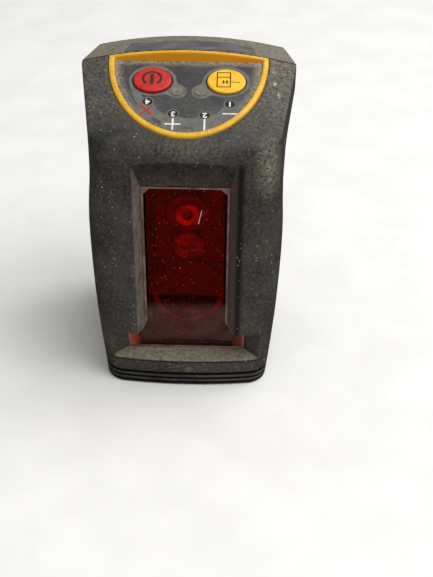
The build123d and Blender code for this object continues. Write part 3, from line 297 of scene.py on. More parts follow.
def specks(material, spacing_mm, share, radius):
    """Mask of small round grains, on a share of the cells of the given spacing."""
    place = add(material, "TexCoord", out="Object")
    cells = {"Vector": place, "Scale": per_metre(spacing_mm)}
    away = add(material, "TexVoronoi", cells)
    draw = add(material, "TexVoronoi", cells, out="Color")
    drawn = add(material, "Math", {0: draw, 1: 1 - share}, operation="GREATER_THAN")
    grain = add(material, "MapRange", {"Value": away, "From Min": radius, "From Max": radius * 0.6})
    return add(material, "Math", {0: drawn, 1: grain}, operation="MULTIPLY")


def facing(material, axis, low, high):
    """Mask of the faces that look along an axis, such as those that dust settles on."""
    normal = add(material, "NewGeometry", out="Normal")
    share = add(material, "SeparateXYZ", {"Vector": normal}, out=axis)
    return add(material, "MapRange", {"Value": share, "From Min": low, "From Max": high})


def edges(material, low, high):
    """Mask of the sharp outer edges."""
    bend = add(material, "NewGeometry", out="Pointiness")
    return add(material, "MapRange", {"Value": bend, "From Min": low, "From Max": high})


def spot(material, centre_mm, reach_mm):
    """Mask of one mark, strongest at its centre and gone at its reach."""
    place = add(material, "TexCoord", out="Object")
    scale = [1000 / reach for reach in reach_mm]
    shift = [-centre / reach for centre, reach in zip(centre_mm, reach_mm)]
    place = add(material, "Mapping", {"Vector": place, "Location": shift, "Scale": scale})
    away = add(material, "VectorMath", {0: place}, out="Value", operation="LENGTH")
    return add(material, "MapRange", {"Value": away, "From Min": 1.0, "From Max": 0.0})


def weathered_abs():
    """Spark-eroded mould texture, drawn coarser than its real 0.1 mm so that it shows, under site dirt and
    painted shade.
    """
    shell = blank("weathered_moulded_abs")
    grain = patches(shell, ABS_GRAIN_MM, 0.3, 0.7)
    mottle = patches(shell, ABS_MOTTLE_MM, 0.38, 0.66, detail=6.0)
    tone = coat(shell, ABS_DARK, ABS_LIGHT, mottle)
    tone = coat(shell, tone, ABS_EARTH, patches(shell, ABS_FINE_MM, 0.4, 0.75, most=0.5, detail=8.0))
    tone = coat(shell, tone, ABS_GRIME_AND_SHADE, patches(shell, ABS_CLOUD_MM, 0.5, 0.8, most=0.5, detail=8.0))
    tone = coat(shell, tone, ABS_RUBBED, edges(shell, 0.52, 0.6), patches(shell, ABS_CLOUD_MM, 0.35, 0.6))
    scratch = patches(shell, ABS_SCRATCH_MM, 0.66, 0.72, stretch=SCRATCH_STRETCH)
    tone = coat(shell, tone, ABS_RUBBED, scratch, patches(shell, ABS_MOTTLE_MM, 0.5, 0.6))
    tone = coat(shell, tone, ABS_DUST, spot(shell, *SCUFF),
                patches(shell, ABS_FINE_MM, 0.3, 0.8, detail=8.0))

    # Painted shade darkens the left shoulder, where the surface turns more upright.
    tone = coat(shell, tone, ABS_GRIME_AND_SHADE, spot(shell, *SHADED_SHOULDER), patches(shell, ABS_CLOUD_MM, 0.2, 0.6))

    # Dust lies thin on the sloping top, thicker to the right and rear, behind the seam and on the sill.
    top = facing(shell, "Z", 0.5, 0.95)
    fine = patches(shell, ABS_FINE_MM, 0.3, 0.8, most=0.4, detail=8.0)
    rearward = along(shell, "Y", *TOP_DUST_Y_MM)
    tone = coat(shell, tone, ABS_DUST, top, rearward, fine)
    tone = coat(shell, tone, ABS_DUST, top, rearward, along(shell, "X", *RIGHT_DUST_X_MM), fine)
    tone = coat(shell, tone, ABS_DUST, spot(shell, *LEDGE), fine)
    behind = patches(shell, ABS_GRAIN_MM * 3, 0.15, 0.7, most=0.6, detail=8.0)
    tone = coat(shell, tone, ABS_DUST, top, along(shell, "Y", SEAM_MM, SEAM_MM + 1), behind)
    seam = band(shell, "Y", (SEAM_MM - 0.5, SEAM_MM - 0.2), (SEAM_MM + 0.5, SEAM_MM + 0.2))
    tone = coat(shell, tone, ABS_GRIME_AND_SHADE, *seam)
    in_recess = along(shell, "Y", WINDOW_FACE_MM + 1, WINDOW_FACE_MM)
    sill = patches(shell, ABS_GRAIN_MM * 2, 0.1, 0.7, most=0.9)
    on_sill = along(shell, "Z", SILL_TOP_MM + 2, SILL_TOP_MM)
    tone = coat(shell, tone, ABS_DUST, top, in_recess, on_sill, sill)

    # In the recess earth clings to the slope above and to the left. The slope's downward faces are darkened
    # with painted shade, and so is a band along the right-hand edge.
    tone = coat(shell, tone, ABS_GRIME_AND_SHADE, in_recess, facing(shell, "Z", -0.15, -0.4),
                patches(shell, ABS_CLOUD_MM, 0.1, 0.6, most=0.85))
    crumbs = patches(shell, ABS_GRAIN_MM, 0.35, 0.65, most=0.5)
    tone = coat(shell, tone, ABS_EARTH, in_recess, facing(shell, "Z", -0.25, -0.45), crumbs,
                along(shell, "Z", *SLOPE_EARTH_Z_MM))
    tone = coat(shell, tone, ABS_DUST, in_recess, facing(shell, "X", 0.5, 0.9),
                *band(shell, "X", *LEFT_WALL_X_MM), patches(shell, ABS_CLOUD_MM, 0.2, 0.8, most=0.7))
    tone = coat(shell, tone, ABS_EARTH, in_recess, facing(shell, "X", -0.5, -0.9),
                *band(shell, "X", *RIGHT_WALL_X_MM), patches(shell, ABS_GRAIN_MM, 0.2, 0.7, most=0.8))
    # Painted shade: a dark band down the right-hand edge of the recess.
    tone = coat(shell, tone, ABS_GRIME_AND_SHADE, in_recess, *band(shell, "X", *RIGHT_EDGE_SHADE_X_MM),
                *band(shell, "Z", *RIGHT_EDGE_SHADE_Z_MM))
    # Painted shadow: a dark line on the front face just under the sill's edge.
    lip = band(shell, "Z", (SILL_EDGE_MM - 0.7, SILL_EDGE_MM - 0.3), (SILL_EDGE_MM + 0.3, SILL_EDGE_MM))
    tone = coat(shell, tone, ABS_GRIME_AND_SHADE, facing(shell, "Y", -0.5, -0.8), *lip)
    tone = coat(shell, tone, ABS_EARTH, spot(shell, *STAIN))
    for nick in NICKS:
        tone = coat(shell, tone, ABS_GRIME_AND_SHADE, spot(shell, *nick))
    for scrape in SCRAPES:
        tone = coat(shell, tone, ABS_SPECK, spot(shell, *scrape), patches(shell, 0.8, 0.4, 0.6))
    tone = coat(shell, tone, ABS_SPECK, specks(shell, ABS_SPECK_MM, 0.2, 0.22),
                patches(shell, ABS_MOTTLE_MM, 0.35, 0.55))
    gloss = add(shell, "MapRange", {"Value": mottle, "To Min": 0.5, "To Max": 0.66})
    return surface(shell, {"Base Color": tone, "Roughness": gloss, "IOR": 1.52, "Specular IOR Level": 0.3},
                   grain, 0.05)


def points_of(piece):
    """Places of a piece's vertices, one row each."""
    places = np.empty(len(piece.data.vertices) * 3, np.float32)
    piece.data.vertices.foreach_get("co", places)
    return places.reshape(-1, 3)


abs_plastic = weathered_abs()
front = soften("front_shell", SHELL_VOXEL_MM, SHELL_ROUNDING)
rear = soften("rear_shell", SHELL_VOXEL_MM, SHELL_ROUNDING)

# The edge of the beam opening is rounder than the rest of the mould.
places = points_of(front)
low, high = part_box("front_shell")
beside = np.abs(places[:, 0]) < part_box("window")[1].x + MOUTH_BESIDE_MM / 1000
below_keypad = places[:, 2] < high.z * MOUTH_TOP_SHARE
by_face = places[:, 1] < low.y + MOUTH_DEPTH_MM / 1000
mouth = front.vertex_groups.new(name="mouth")
mouth.add(np.flatnonzero(beside & below_keypad & by_face).tolist(), 1.0, "REPLACE")
work(front, "SMOOTH", factor=0.5, iterations=MOUTH_ROUNDING, vertex_group="mouth")
for shell in (front, rear):
    work(shell, "DECIMATE", ratio=SHELL_KEPT)
    dress(abs_plastic, shell)
dress(steel, "housing_screws")


# Battery bay
# A moulded tray with sprung contacts holds three cells upright behind the door.
# The door is moulded like the shells, with grip ribs near its top, and swings on a steel pin below.
CELL_JACKET = "#2f5d50"
CELL_JACKET_WORN = "#4f7d6d"
CELL_WEAR_MM = 6.0
DOOR_VOXEL_MM = 0.35
GRIP_COUNT = 5
GRIP_HALF_MM = 9.0
GRIP_WIDTH_MM = 1.0
GRIP_PITCH_MM = 2.2
GRIP_DROP_MM = 5.0
GRIP_PROUD_MM = 0.45
GRIP_FIELD_HALF_MM = 12
GRIP_FIELD_DROP_MM = (18, 2)


def printed_sleeve():
    """Shrunk PVC sleeve of a plain cell, glossy and a little scuffed."""
    sleeve = blank("printed_cell_sleeve")
    wear = patches(sleeve, CELL_WEAR_MM, 0.4, 0.7)
    tone = coat(sleeve, CELL_JACKET, CELL_JACKET_WORN, wear)
    return surface(sleeve, {"Base Color": tone, "Roughness": 0.3, "IOR": 1.54})


def stroke(x, y, start, end, width):
    """Distance outside a straight line drawn with a round tip."""
    run = np.subtract(end, start)
    share = np.clip(((x - start[0]) * run[0] + (y - start[1]) * run[1]) / run.dot(run), 0, 1)
    return np.hypot(x - start[0] - share * run[0], y - start[1] - share * run[1]) - width / 2


def lay(name, shape, corners_mm, plane, thick_mm, material, body="housing", step_mm=0.25):
    """Lay a thin piece on a plane where a shape, a function of two distances in mm, is below zero."""
    origin, across, up = plane
    (left, bottom), (right, top) = corners_mm
    columns = np.arange(left, right + step_mm, step_mm)
    rows = np.arange(bottom, top + step_mm, step_mm)
    value = shape(*np.meshgrid(columns, rows))
    points, faces, known = [], [], {}

    def point(one, other):
        """Number of the vertex at a grid corner, or where the outline passes between two corners."""
        ends = min(one, other), max(one, other)
        if ends not in known:
            known[ends] = len(points)
            share = 0 if one == other else value[ends[0]] / (value[ends[0]] - value[ends[1]])
            row, column = (a + share * (b - a) for a, b in zip(*ends))
            points.append(origin + across * ((left + column * step_mm) / 1000)
                          + up * ((bottom + row * step_mm) / 1000))
        return known[ends]

    for row in range(len(rows) - 1):
        for column in range(len(columns) - 1):
            ring = [(row, column), (row, column + 1), (row + 1, column + 1), (row + 1, column)]
            face = []
            for one, other in zip(ring, ring[1:] + ring[:1]):
                if value[one] < 0:
                    face.append(point(one, one))
                if (value[one] < 0) != (value[other] < 0):
                    face.append(point(one, other))
            if face:
                faces.append(face)
    mesh = bpy.data.meshes.new(name)
    mesh.from_pydata(points, [], faces)
    piece = bpy.data.objects.new(name, mesh)
    bpy.context.scene.collection.objects.link(piece)
    work(piece, "SOLIDIFY", thickness=thick_mm / 1000, offset=1.0)
    piece.data.materials.clear()
    piece.data.materials.append(material)
    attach(piece, body)
    return piece


def grip_ribs(x, z):
    """Level ribs, one above the other, for a thumb."""
    heights = [door_top_mm - GRIP_DROP_MM - index * GRIP_PITCH_MM for index in range(GRIP_COUNT)]
    return np.minimum.reduce([stroke(x, z, (-GRIP_HALF_MM, height), (GRIP_HALF_MM, height), GRIP_WIDTH_MM)
                              for height in heights])


dress(nylon, "battery_tray")
dress(steel, "battery_contacts", "door_hinge_pin")
dress(printed_sleeve(), "battery_cells")
door = soften("battery_door", DOOR_VOXEL_MM, SHELL_ROUNDING)
dress(abs_plastic, door)
door_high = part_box("battery_door")[1]
door_top_mm = door_high.z * 1000
door_back = (Vector((0, door_high.y, 0)), Vector((-1, 0, 0)), Vector((0, 0, 1)))
grip_corners = [(side * GRIP_FIELD_HALF_MM, door_top_mm - drop)
                for side, drop in zip((-1, 1), GRIP_FIELD_DROP_MM)]
lay("door_grip", grip_ribs, grip_corners, door_back, GRIP_PROUD_MM, abs_plastic, "battery_door")


# Main board
# Glass-fibre board with green solder resist on four stand-offs, with its chips and the ribbon's socket.
# The flat ribbon comes down to it from the keypad.
RESIST_DARK = "#123a22"
RESIST_LIGHT = "#1f5a35"
TRACK_MM = 1.6
RIBBON_AMBER = "#b5651d"
RIBBON_PALE = "#d08a3c"
RIBBON_LINE_MM = 1.0


def solder_resist():
    """Green lacquer over copper tracks, which show as a lighter grid."""
    resist = blank("green_solder_resist")
    tracks = patches(resist, TRACK_MM, 0.48, 0.54, detail=0.0, stretch=(0.3, 0.3, 1.0))
    tone = coat(resist, RESIST_DARK, RESIST_LIGHT, tracks)
    return surface(resist, {"Base Color": tone, "Roughness": 0.35, "IOR": 1.5}, tracks, 0.03)


def polyimide_film():
    """Amber film with copper lines that run along it."""
    film = blank("polyimide_ribbon_film")
    lines = patches(film, RIBBON_LINE_MM, 0.42, 0.58, detail=0.0, stretch=(1.0, 0.0, 0.0))
    tone = coat(film, RIBBON_AMBER, RIBBON_PALE, lines)
    return surface(film, {"Base Color": tone, "Roughness": 0.3, "IOR": 1.6})


board = solder_resist()
dress(board, "main_board")
dress(nylon, "board_parts")
dress(steel, "board_screws")
dress(polyimide_film(), "keypad_ribbon")


# Gimbal
# A die-cast zinc bridge hangs in the housing and carries a ring on small ball bearings.
# The castings are tumbled and phosphated, so their skin is dark grey and slightly grainy.
ZINC_BRIGHT = "#6b6965"
ZINC_DULL = "#4a4946"
ZINC_GRAIN_MM = 1.5


def die_cast_zinc():
    """Dark grey casting skin with soft flow marks and a low sheen."""
    zinc = blank("phosphated_die_cast_zinc")
    flow = patches(zinc, ZINC_GRAIN_MM, 0.35, 0.65)
    tone = coat(zinc, ZINC_BRIGHT, ZINC_DULL, flow)
    return surface(zinc, {"Base Color": tone, "Metallic": 0.6, "Roughness": 0.5}, flow, 0.02)


zinc = die_cast_zinc()
dress(zinc, "gimbal_bracket", "gimbal_ring")
dress(steel, "bracket_screws", "roll_bearings", "roll_pins", "pitch_bearings", "pitch_pin")


# Pendulum
# A heavy casting that hangs level, with two brass laser tubes, a balance weight and trim screws.
# Magnets in its foot swing over a copper plate, which brakes it.
AGED_BRASS_BRIGHT = "#ad874b"
AGED_BRASS_DULL = "#7d5f33"
COPPER_BRIGHT = "#c77f53"
COPPER_DULL = "#7d4b30"
COPPER_STAIN_MM = 4.0
NICKEL_BRIGHT = "#c9c6bf"
NICKEL_DULL = "#98958d"
GLASS_TINT = "#e8f0ee"
GLASS_HAZE = "#cfdcd8"
LAYER_MM = 0.05
BOB_R_MM = 16.5
BOB_FRONT_MM = -9.1
BOB_EDGE_MM = 2.2
BOB_FIELD_MM = ((-18, 8), (18, 46))
BOB_HIGHLIGHT_BRIGHT = "#e6e2da"
BOB_HIGHLIGHT_DULL = "#bdb9b0"
SEAT_MM = (5.2, 8.4)
SEAT_FRONT_MM = -13.1
SEAT_FIELD_MM = ((-10, 60), (10, 81))
SEAT_BRIGHT = "#8f8b84"
SEAT_DULL = "#6f6c66"


def line_glass():
    """Ground glass rod that spreads a laser beam into a line."""
    glass = blank("ground_optical_glass")
    haze = patches(glass, 1.0, 0.4, 0.7)
    tone = coat(glass, GLASS_TINT, GLASS_HAZE, haze)
    return surface(glass, {"Base Color": tone, "Roughness": 0.05, "IOR": 1.52, "Transmission Weight": 0.9})


def clouded(name, light, dark, cloud_mm, rough):
    """A thin matt layer, such as dried glue or ink, that is thicker in some places than in others."""
    layer = blank(name)
    tone = coat(layer, light, dark, patches(layer, cloud_mm, 0.35, 0.7))
    return surface(layer, {"Base Color": tone, "Roughness": rough, "IOR": 1.45, "Specular IOR Level": 0.3})


def disc(x, y, centre, radius):
    """Distance outside a circle."""
    return np.hypot(x - centre[0], y - centre[1]) - radius


def upright(front_mm):
    """Plane that looks forward at a distance along Y, to lay thin pieces on."""
    return Vector((0, front_mm / 1000, 0)), Vector((1, 0, 0)), Vector((0, 0, 1))


def seat_face(x, z):
    """The turned face of the upper laser's seat, round its tube."""
    low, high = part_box("upper_laser_barrel")
    centre = (0, (low.z + high.z) * 500)
    return np.maximum(disc(x, z, centre, SEAT_MM[1]), -disc(x, z, centre, SEAT_MM[0]))


def bob_edge(x, z):
    """The lower edge of the pendulum's round bob, where a bright ring is laid as a painted highlight."""
    centre = (0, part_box("pendulum_body")[0].z * 1000 + BOB_R_MM)
    ring = np.abs(np.hypot(x, z - centre[1]) - BOB_R_MM + BOB_EDGE_MM) - BOB_EDGE_MM / 2
    return np.maximum(ring, z - centre[1])


dress(zinc, "pendulum_body")
dress(brass, "upper_laser_barrel", "lower_laser_barrel")
aged_brass = turned_metal("aged_brass", AGED_BRASS_BRIGHT, AGED_BRASS_DULL, BRASS_TARNISH_MM, 0.4)
dress(aged_brass, "balance_weight")
dress(steel, "trim_screws")
dress(line_glass(), "upper_line_lens", "lower_line_lens")
dress(turned_metal("nickel_plated_magnet", NICKEL_BRIGHT, NICKEL_DULL, 3.0, 0.2), "damping_magnets")
dress(turned_metal("rolled_copper", COPPER_BRIGHT, COPPER_DULL, COPPER_STAIN_MM, 0.3), "damping_plate")
# Painted highlight: a bright ring along the lower edge of the bob's face.
bob_highlight = clouded("painted_bob_highlight", BOB_HIGHLIGHT_BRIGHT, BOB_HIGHLIGHT_DULL, 5.0, 0.4)
lay("bob_edge", bob_edge, BOB_FIELD_MM, upright(BOB_FRONT_MM), LAYER_MM, bob_highlight, "pendulum")
turned = clouded("turned_zinc_face", SEAT_BRIGHT, SEAT_DULL, 3.0, 0.45)
lay("seat_face", seat_face, SEAT_FIELD_MM, upright(SEAT_FRONT_MM), LAYER_MM, turned, "pendulum")


# Beam window
# A plate of red cast acrylic, bonded into the opening on a foam gasket, with a pale line of glue round it.
# The ends of its bar glow orange with light piped through the acrylic, laid on as a painted glow, and its
# face is hazed, scratched and dusty.
ACRYLIC_RED = "#e22c1a"
ACRYLIC_DEEP = "#cf2012"
ACRYLIC_HAZE_MM = 9.0
FOAM_PALE = "#e0c4b4"
FOAM_DARK = "#b08a7c"
FOAM_PORE_MM = 0.7
BOND_WIDTH_MM = 0.9
BOND_CORNER_MM = 4.2
BOND_THICK_MM = 0.04
BOND_PALE = "#93756e"
BOND_DARK = "#5a3c38"
STEM_HALF_MM = 17.05
BAR_TOP_MM = 23.85
GLOW_INNER_MM = 19.2
GLOW_BRIGHT = "#cf4a20"
GLOW_SHADE = "#7e2a18"
GLOW_FADE = "#3a1310"
GLOW_OUTER_MM = 23.5
GLOW_SHADE_MM = 20
SCRATCH_AT = ((6.3, 82.0), (5.0, 76.0))
SCRATCH_WIDTH_MM = 0.22
INNER_CORNER_MM = 5.6
DUST_SEED = 7
DUST_SPECKS = 150
DUST_X_MM = (-16, 16)
DUST_Z_MM = (16, 91)
DUST_R_MM = (0.07, 0.2)
DUST_PALE = "#8d776c"
DUST_BROWN = "#6a564d"
SPECK_WHITE = "#e8e2d6"
SPECK_GREY = "#a9a093"


def cast_acrylic():
    """Clear red acrylic: deep colour, sharp gloss, and haze where it has been wiped with grit on it."""
    acrylic = blank("red_cast_acrylic")
    haze = patches(acrylic, ACRYLIC_HAZE_MM, 0.45, 0.8)
    tone = coat(acrylic, ACRYLIC_RED, ACRYLIC_DEEP, haze)
    gloss = add(acrylic, "MapRange", {"Value": haze, "To Min": 0.02, "To Max": 0.1})
    return surface(acrylic, {"Base Color": tone, "Roughness": gloss, "IOR": 1.49,
                             "Transmission Weight": 1.0})


def closed_foam():
    """Pale closed-cell foam, dirty at its edge."""
    foam = blank("closed_cell_foam")
    pores = patches(foam, FOAM_PORE_MM, 0.4, 0.65)
    tone = coat(foam, FOAM_PALE, FOAM_DARK, pores)
    return surface(foam, {"Base Color": tone, "Roughness": 0.9, "IOR": 1.45}, pores, 0.05)


def window_outline(x, z):
    """Distance outside the window's edge: a stem on a wide bar, with rounded corners between them."""
    below = pane_low.z * 1000 - z
    stem = np.maximum(np.abs(x) - STEM_HALF_MM, np.maximum(z - pane_high.z * 1000, below))
    bar = np.maximum(np.abs(x) - pane_high.x * 1000, np.maximum(z - BAR_TOP_MM, below))
    wide = np.abs(x) - STEM_HALF_MM - INNER_CORNER_MM
    tall = z - BAR_TOP_MM - INNER_CORNER_MM
    corner = np.maximum(np.maximum(wide, tall), INNER_CORNER_MM - np.hypot(wide, tall))
    return np.minimum(np.minimum(stem, bar), np.maximum(corner, below))


def bond_line(x, z):
    """The strip along the window's edge, with a wedge of glue in each upper corner."""
    edge = window_outline(x, z)
    wedge = (STEM_HALF_MM + pane_high.z * 1000 - BOND_CORNER_MM) - np.abs(x) - z
    return np.maximum(edge, np.minimum(-edge - BOND_WIDTH_MM, wedge))


def painted_glow_ends(x, z):
    """The part of each end of the bar that carries the painted glow."""
    return np.maximum(window_outline(x, z) + BOND_WIDTH_MM / 2, GLOW_INNER_MM - np.abs(x))


def painted_glow_acrylic():
    """Painted glow of light piped through red acrylic, brighter at the outer ends and on the left, with
    painted shade towards the right.
    """
    glow_layer = blank("painted_glow_red_acrylic")
    lit = patches(glow_layer, 2.5, 0.3, 0.7, most=0.7)
    tone = coat(glow_layer, GLOW_BRIGHT, GLOW_SHADE, lit)
    tone = coat(glow_layer, tone, GLOW_SHADE, along(glow_layer, "X", 0, GLOW_SHADE_MM))
    for side in (-1, 1):
        inward = along(glow_layer, "X", side * GLOW_OUTER_MM, side * GLOW_INNER_MM)
        tone = coat(glow_layer, tone, GLOW_FADE, inward, along(glow_layer, "X", 0, side))
    return surface(glow_layer, {"Base Color": tone, "Roughness": 0.45, "IOR": 1.49, "Specular IOR Level": 0.3})


def window_dust(x, z):
    """Small round specks all over the pane."""
    chance = np.random.default_rng(DUST_SEED)
    grains = [disc(x, z, (chance.uniform(*DUST_X_MM), chance.uniform(*DUST_Z_MM)),
                   chance.uniform(*DUST_R_MM)) for _ in range(DUST_SPECKS)]
    return np.maximum(np.minimum.reduce(grains), window_outline(x, z))


dress(cast_acrylic(), "window")
dress(closed_foam(), "window_gasket")
pane_low, pane_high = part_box("window")
pane_corners = ((pane_low.x * 1000 - 1, pane_low.z * 1000 - 1),
                (pane_high.x * 1000 + 1, pane_high.z * 1000 + 1))
pane_front = upright(pane_low.y * 1000)
bond = clouded("dried_bond_line", BOND_PALE, BOND_DARK, 6.0, 0.6)
lay("window_bond", bond_line, pane_corners, pane_front, BOND_THICK_MM, bond)
# Painted glow laid on the ends of the bar.
lay("window_painted_glow_ends", painted_glow_ends, pane_corners, pane_front, BOND_THICK_MM / 2, painted_glow_acrylic())
dust = clouded("settled_window_dust", DUST_PALE, DUST_BROWN, 4.0, 0.9)
lay("window_dust", window_dust, pane_corners, pane_front, BOND_THICK_MM, dust, step_mm=0.125)
scratch = clouded("white_scratch_edge", SPECK_WHITE, SPECK_GREY, 1.0, 0.7)
lay("window_scratch", lambda x, z: stroke(x, z, *SCRATCH_AT, SCRATCH_WIDTH_MM), pane_corners, pane_front,
    BOND_THICK_MM, scratch, step_mm=0.1)


# Keypad board
# A small board under the keypad with two push switches and two lamps, hung on three screws.
# Light pipes carry the lamps' glow up through the keypad.
LAMP_CLEAR = "#8f8877"
LAMP_MILKY = "#6c675b"
LAMP_CLOUD_MM = 2.0


def milky_polycarbonate():
    """Light-pipe plastic, greyed by dust and slightly see-through."""
    pipe = blank("milky_polycarbonate")
    cloud = patches(pipe, LAMP_CLOUD_MM, 0.35, 0.7)
    tone = coat(pipe, LAMP_CLEAR, LAMP_MILKY, cloud)
    return surface(pipe, {"Base Color": tone, "Roughness": 0.35, "IOR": 1.58, "Transmission Weight": 0.25})


pipe_plastic = milky_polycarbonate()
dress(board, "keypad_board")
dress(nylon, "switch_bodies", "power_switch_plunger", "pulse_switch_plunger")
dress(steel, "keypad_board_screws")
dress(pipe_plastic, "indicator_leds", "indicator_lenses")


# Keypad rim
# A yellow ABS rim, moulded as a D with a tall straight back and pressed into the sloping top.
# Its crest is rubbed pale and black grit sits on its front.
# Its crest also carries a painted highlight, and its tall back is darkened with painted shade where it looks
# forward.
RIM_VOXEL_MM = 0.25
RIM_ROUNDING = 3
YELLOW_BRIGHT = "#e2ad16"
YELLOW_DEEP = "#cb9510"
YELLOW_BACK_SHADE = "#e59a04"
YELLOW_RUBBED_AND_HIGHLIGHT = "#f3d888"
YELLOW_DIRT = "#4a3a20"
YELLOW_MOTTLE_MM = 7.0
RIM_GRIT_MM = 1.1
RIM_BACK_MM = 4.0


def yellow_abs():
    """Glossy signal-yellow plastic with a worn crest that also carries a painted highlight; its tall back,
    where it looks forward, is darkened with painted shade.
    """
    yellow = blank("moulded_yellow_abs")
    tone = coat(yellow, YELLOW_BRIGHT, YELLOW_DEEP, patches(yellow, YELLOW_MOTTLE_MM, 0.4, 0.7))
    # Painted shade on the tall back where it looks forward.
    tone = coat(yellow, tone, YELLOW_BACK_SHADE, facing(yellow, "Y", -0.5, -0.9),
                along(yellow, "Y", RIM_BACK_MM, RIM_BACK_MM + 0.5))
    # The sharp edges and the crest's top faces are lightened, partly rubbed pale and partly a painted
    # highlight.
    tone = coat(yellow, tone, YELLOW_RUBBED_AND_HIGHLIGHT, edges(yellow, 0.52, 0.62), patches(yellow, 3.0, 0.35, 0.6))
    tone = coat(yellow, tone, YELLOW_RUBBED_AND_HIGHLIGHT, facing(yellow, "Z", 0.75, 1.0),
                patches(yellow, 1.2, 0.45, 0.75, most=0.6))
    grit = specks(yellow, RIM_GRIT_MM, 0.12, 0.28)
    tone = coat(yellow, tone, YELLOW_DIRT, grit, patches(yellow, YELLOW_MOTTLE_MM, 0.4, 0.6))
    return surface(yellow, {"Base Color": tone, "Roughness": 0.42, "IOR": 1.52, "Specular IOR Level": 0.4},
                   grit, 0.03)


rim = soften("keypad_bezel", RIM_VOXEL_MM, RIM_ROUNDING)
dress(yellow_abs(), rim)


# Keypad panel
# Dark polyester film over the keypad, screen printed in grey, white and red.
# The print is read from behind the tool, so from the front it is upside down. Dust lines the film's edge.
FILM_DARK = "#232426"
FILM_LIGHT = "#363638"
FILM_DUST = "#9b8f7c"
FILM_CLOUD_MM = 12.0
FILM_HALF_MM = (28.5, 37.6)
FILM_BACK_MM = 5.0
INK_THICK_MM = 0.03
INK_GREY = ("#706f69", "#5c5c57")
INK_BLACK = ("#191918", "#262524")
INK_WHITE = ("#f0ece2", "#cfc9bc")
INK_RED = ("#b3332c", "#8e2621")
KEY_X = 14.0
KEY_HALF = (7.3, 6.4)
KEY_LINE_GAP = 0.25
RING_HALF = (7.9, 7.0)
HALO_HALF = (9.0, 8.2)
LAMP_AT = (4.5, -5.4)
LAMP_R = 2.3
LOBE_R = 3.6
BAND_INNER = ((0.5, 1.0), 20.2)
BAND_OUTER = ((1.2, 0.2), 23.7)
BAND_START = -2.0
BAND_END = math.radians(42.0)
NUMERALS = {"4": (-15.3, -11.0), "3": (-5.5, -17.0), "2": (6.3, -17.4), "1": (15.5, -11.5)}
NUMERAL_R = 1.9
NUMERAL_EDGE = 0.5
NUMERAL_SIZE_MM = 3.5
NUMERAL_BOLD_MM = 0.12
SYMBOL_R = 4.2
CROSS_AT = (-15.6, -15.4)
PLUS_AT = (-5.4, -22.2)
UPRIGHT_AT = (6.3, -22.3)
LEVEL_AT = (15.7, -16.5)
SYMBOL_HALF = 2.7
SYMBOL_WIDTH = 0.65
PRINT_CORNERS = ((-30.0, -30.0), (30.0, 14.0))


def polyester_film():
    """Satin film with a grey bloom of fine dust, and a bead of pale dust where it meets the rim."""
    film = blank("polyester_keypad_film")
    tone = coat(film, FILM_DARK, FILM_LIGHT, patches(film, FILM_CLOUD_MM, 0.35, 0.7))
    bloom = patches(film, 0.9, 0.35, 0.8, most=0.35, detail=8.0)
    tone = coat(film, tone, FILM_DUST, bloom, patches(film, FILM_CLOUD_MM, 0.35, 0.75))
    place = add(film, "TexCoord", out="Object")
    spread = [1000 / FILM_HALF_MM[0], 1000 / FILM_HALF_MM[1], 0.0]
    shift = (0, -FILM_BACK_MM / FILM_HALF_MM[1], 0)
    place = add(film, "Mapping", {"Vector": place, "Location": shift, "Scale": spread})
    reach = add(film, "VectorMath", {0: place}, out="Value", operation="LENGTH")
    rim_side = add(film, "MapRange", {"Value": reach, "From Min": 0.86, "From Max": 0.99})
    crumbs = patches(film, 1.2, 0.25, 0.6, detail=6.0)
    tone = coat(film, tone, FILM_DUST, rim_side, crumbs)
    tone = coat(film, tone, FILM_DUST, along(film, "Y", FILM_BACK_MM - 3, FILM_BACK_MM - 0.5), crumbs)
    return surface(film, {"Base Color": tone, "Roughness": 0.4, "IOR": 1.57, "Specular IOR Level": 0.4},
                   bloom, 0.01)


def oval(x, y, centre, half):
    """Nearly the distance outside an oval."""
    wide, tall = x - centre[0], y - centre[1]
    away = np.hypot(wide / half[0], tall / half[1])
    return away * (away - 1) / (np.hypot(wide / half[0] ** 2, tall / half[1] ** 2) + 1e-6)


def merged(one, other, reach):
    """Two shapes that run into each other with a soft corner."""
    share = np.clip(0.5 + (other - one) / reach / 2, 0, 1)
    return other * (1 - share) + one * share - reach * share * (1 - share)


def grey_print(x, y):
    """A ring round each key that runs out to its lamp, and a curved band with a lobe at each symbol."""
    end = (x - BAND_INNER[0][0]) * math.cos(BAND_END) + (y - BAND_INNER[0][1]) * math.sin(BAND_END)
    curve = np.maximum(disc(x, y, *BAND_OUTER), -disc(x, y, *BAND_INNER))
    shape = np.maximum(curve, np.maximum(y - BAND_START, end))
    for centre in (CROSS_AT, PLUS_AT, UPRIGHT_AT, LEVEL_AT):
        shape = merged(shape, disc(x, y, centre, SYMBOL_R), 1.0)
    for centre in NUMERALS.values():
        shape = np.minimum(shape, disc(x, y, centre, NUMERAL_R + NUMERAL_EDGE))
    for side in (-1, 1):
        lamp = (side * LAMP_AT[0], LAMP_AT[1])
        ring = merged(oval(x, y, (side * KEY_X, 0.2), HALO_HALF), disc(x, y, lamp, LOBE_R), 3.0)
        shape = np.minimum(shape, ring)
        shape = np.maximum(shape, -oval(x, y, (side * KEY_X, 0), RING_HALF))
        shape = np.maximum(shape, -disc(x, y, lamp, LAMP_R))
    for centre in NUMERALS.values():
        shape = np.maximum(shape, -disc(x, y, centre, NUMERAL_R))
    return shape


def black_print(x, y):
    """A dark disc under each numeral and a dark line round each key."""
    shape = np.minimum.reduce([disc(x, y, centre, NUMERAL_R) for centre in NUMERALS.values()])
    for side in (-1, 1):
        centre = (side * KEY_X, 0)
        ring = np.maximum(oval(x, y, centre, RING_HALF), KEY_LINE_GAP - oval(x, y, centre, KEY_HALF))
        shape = np.minimum(shape, ring)
    return shape


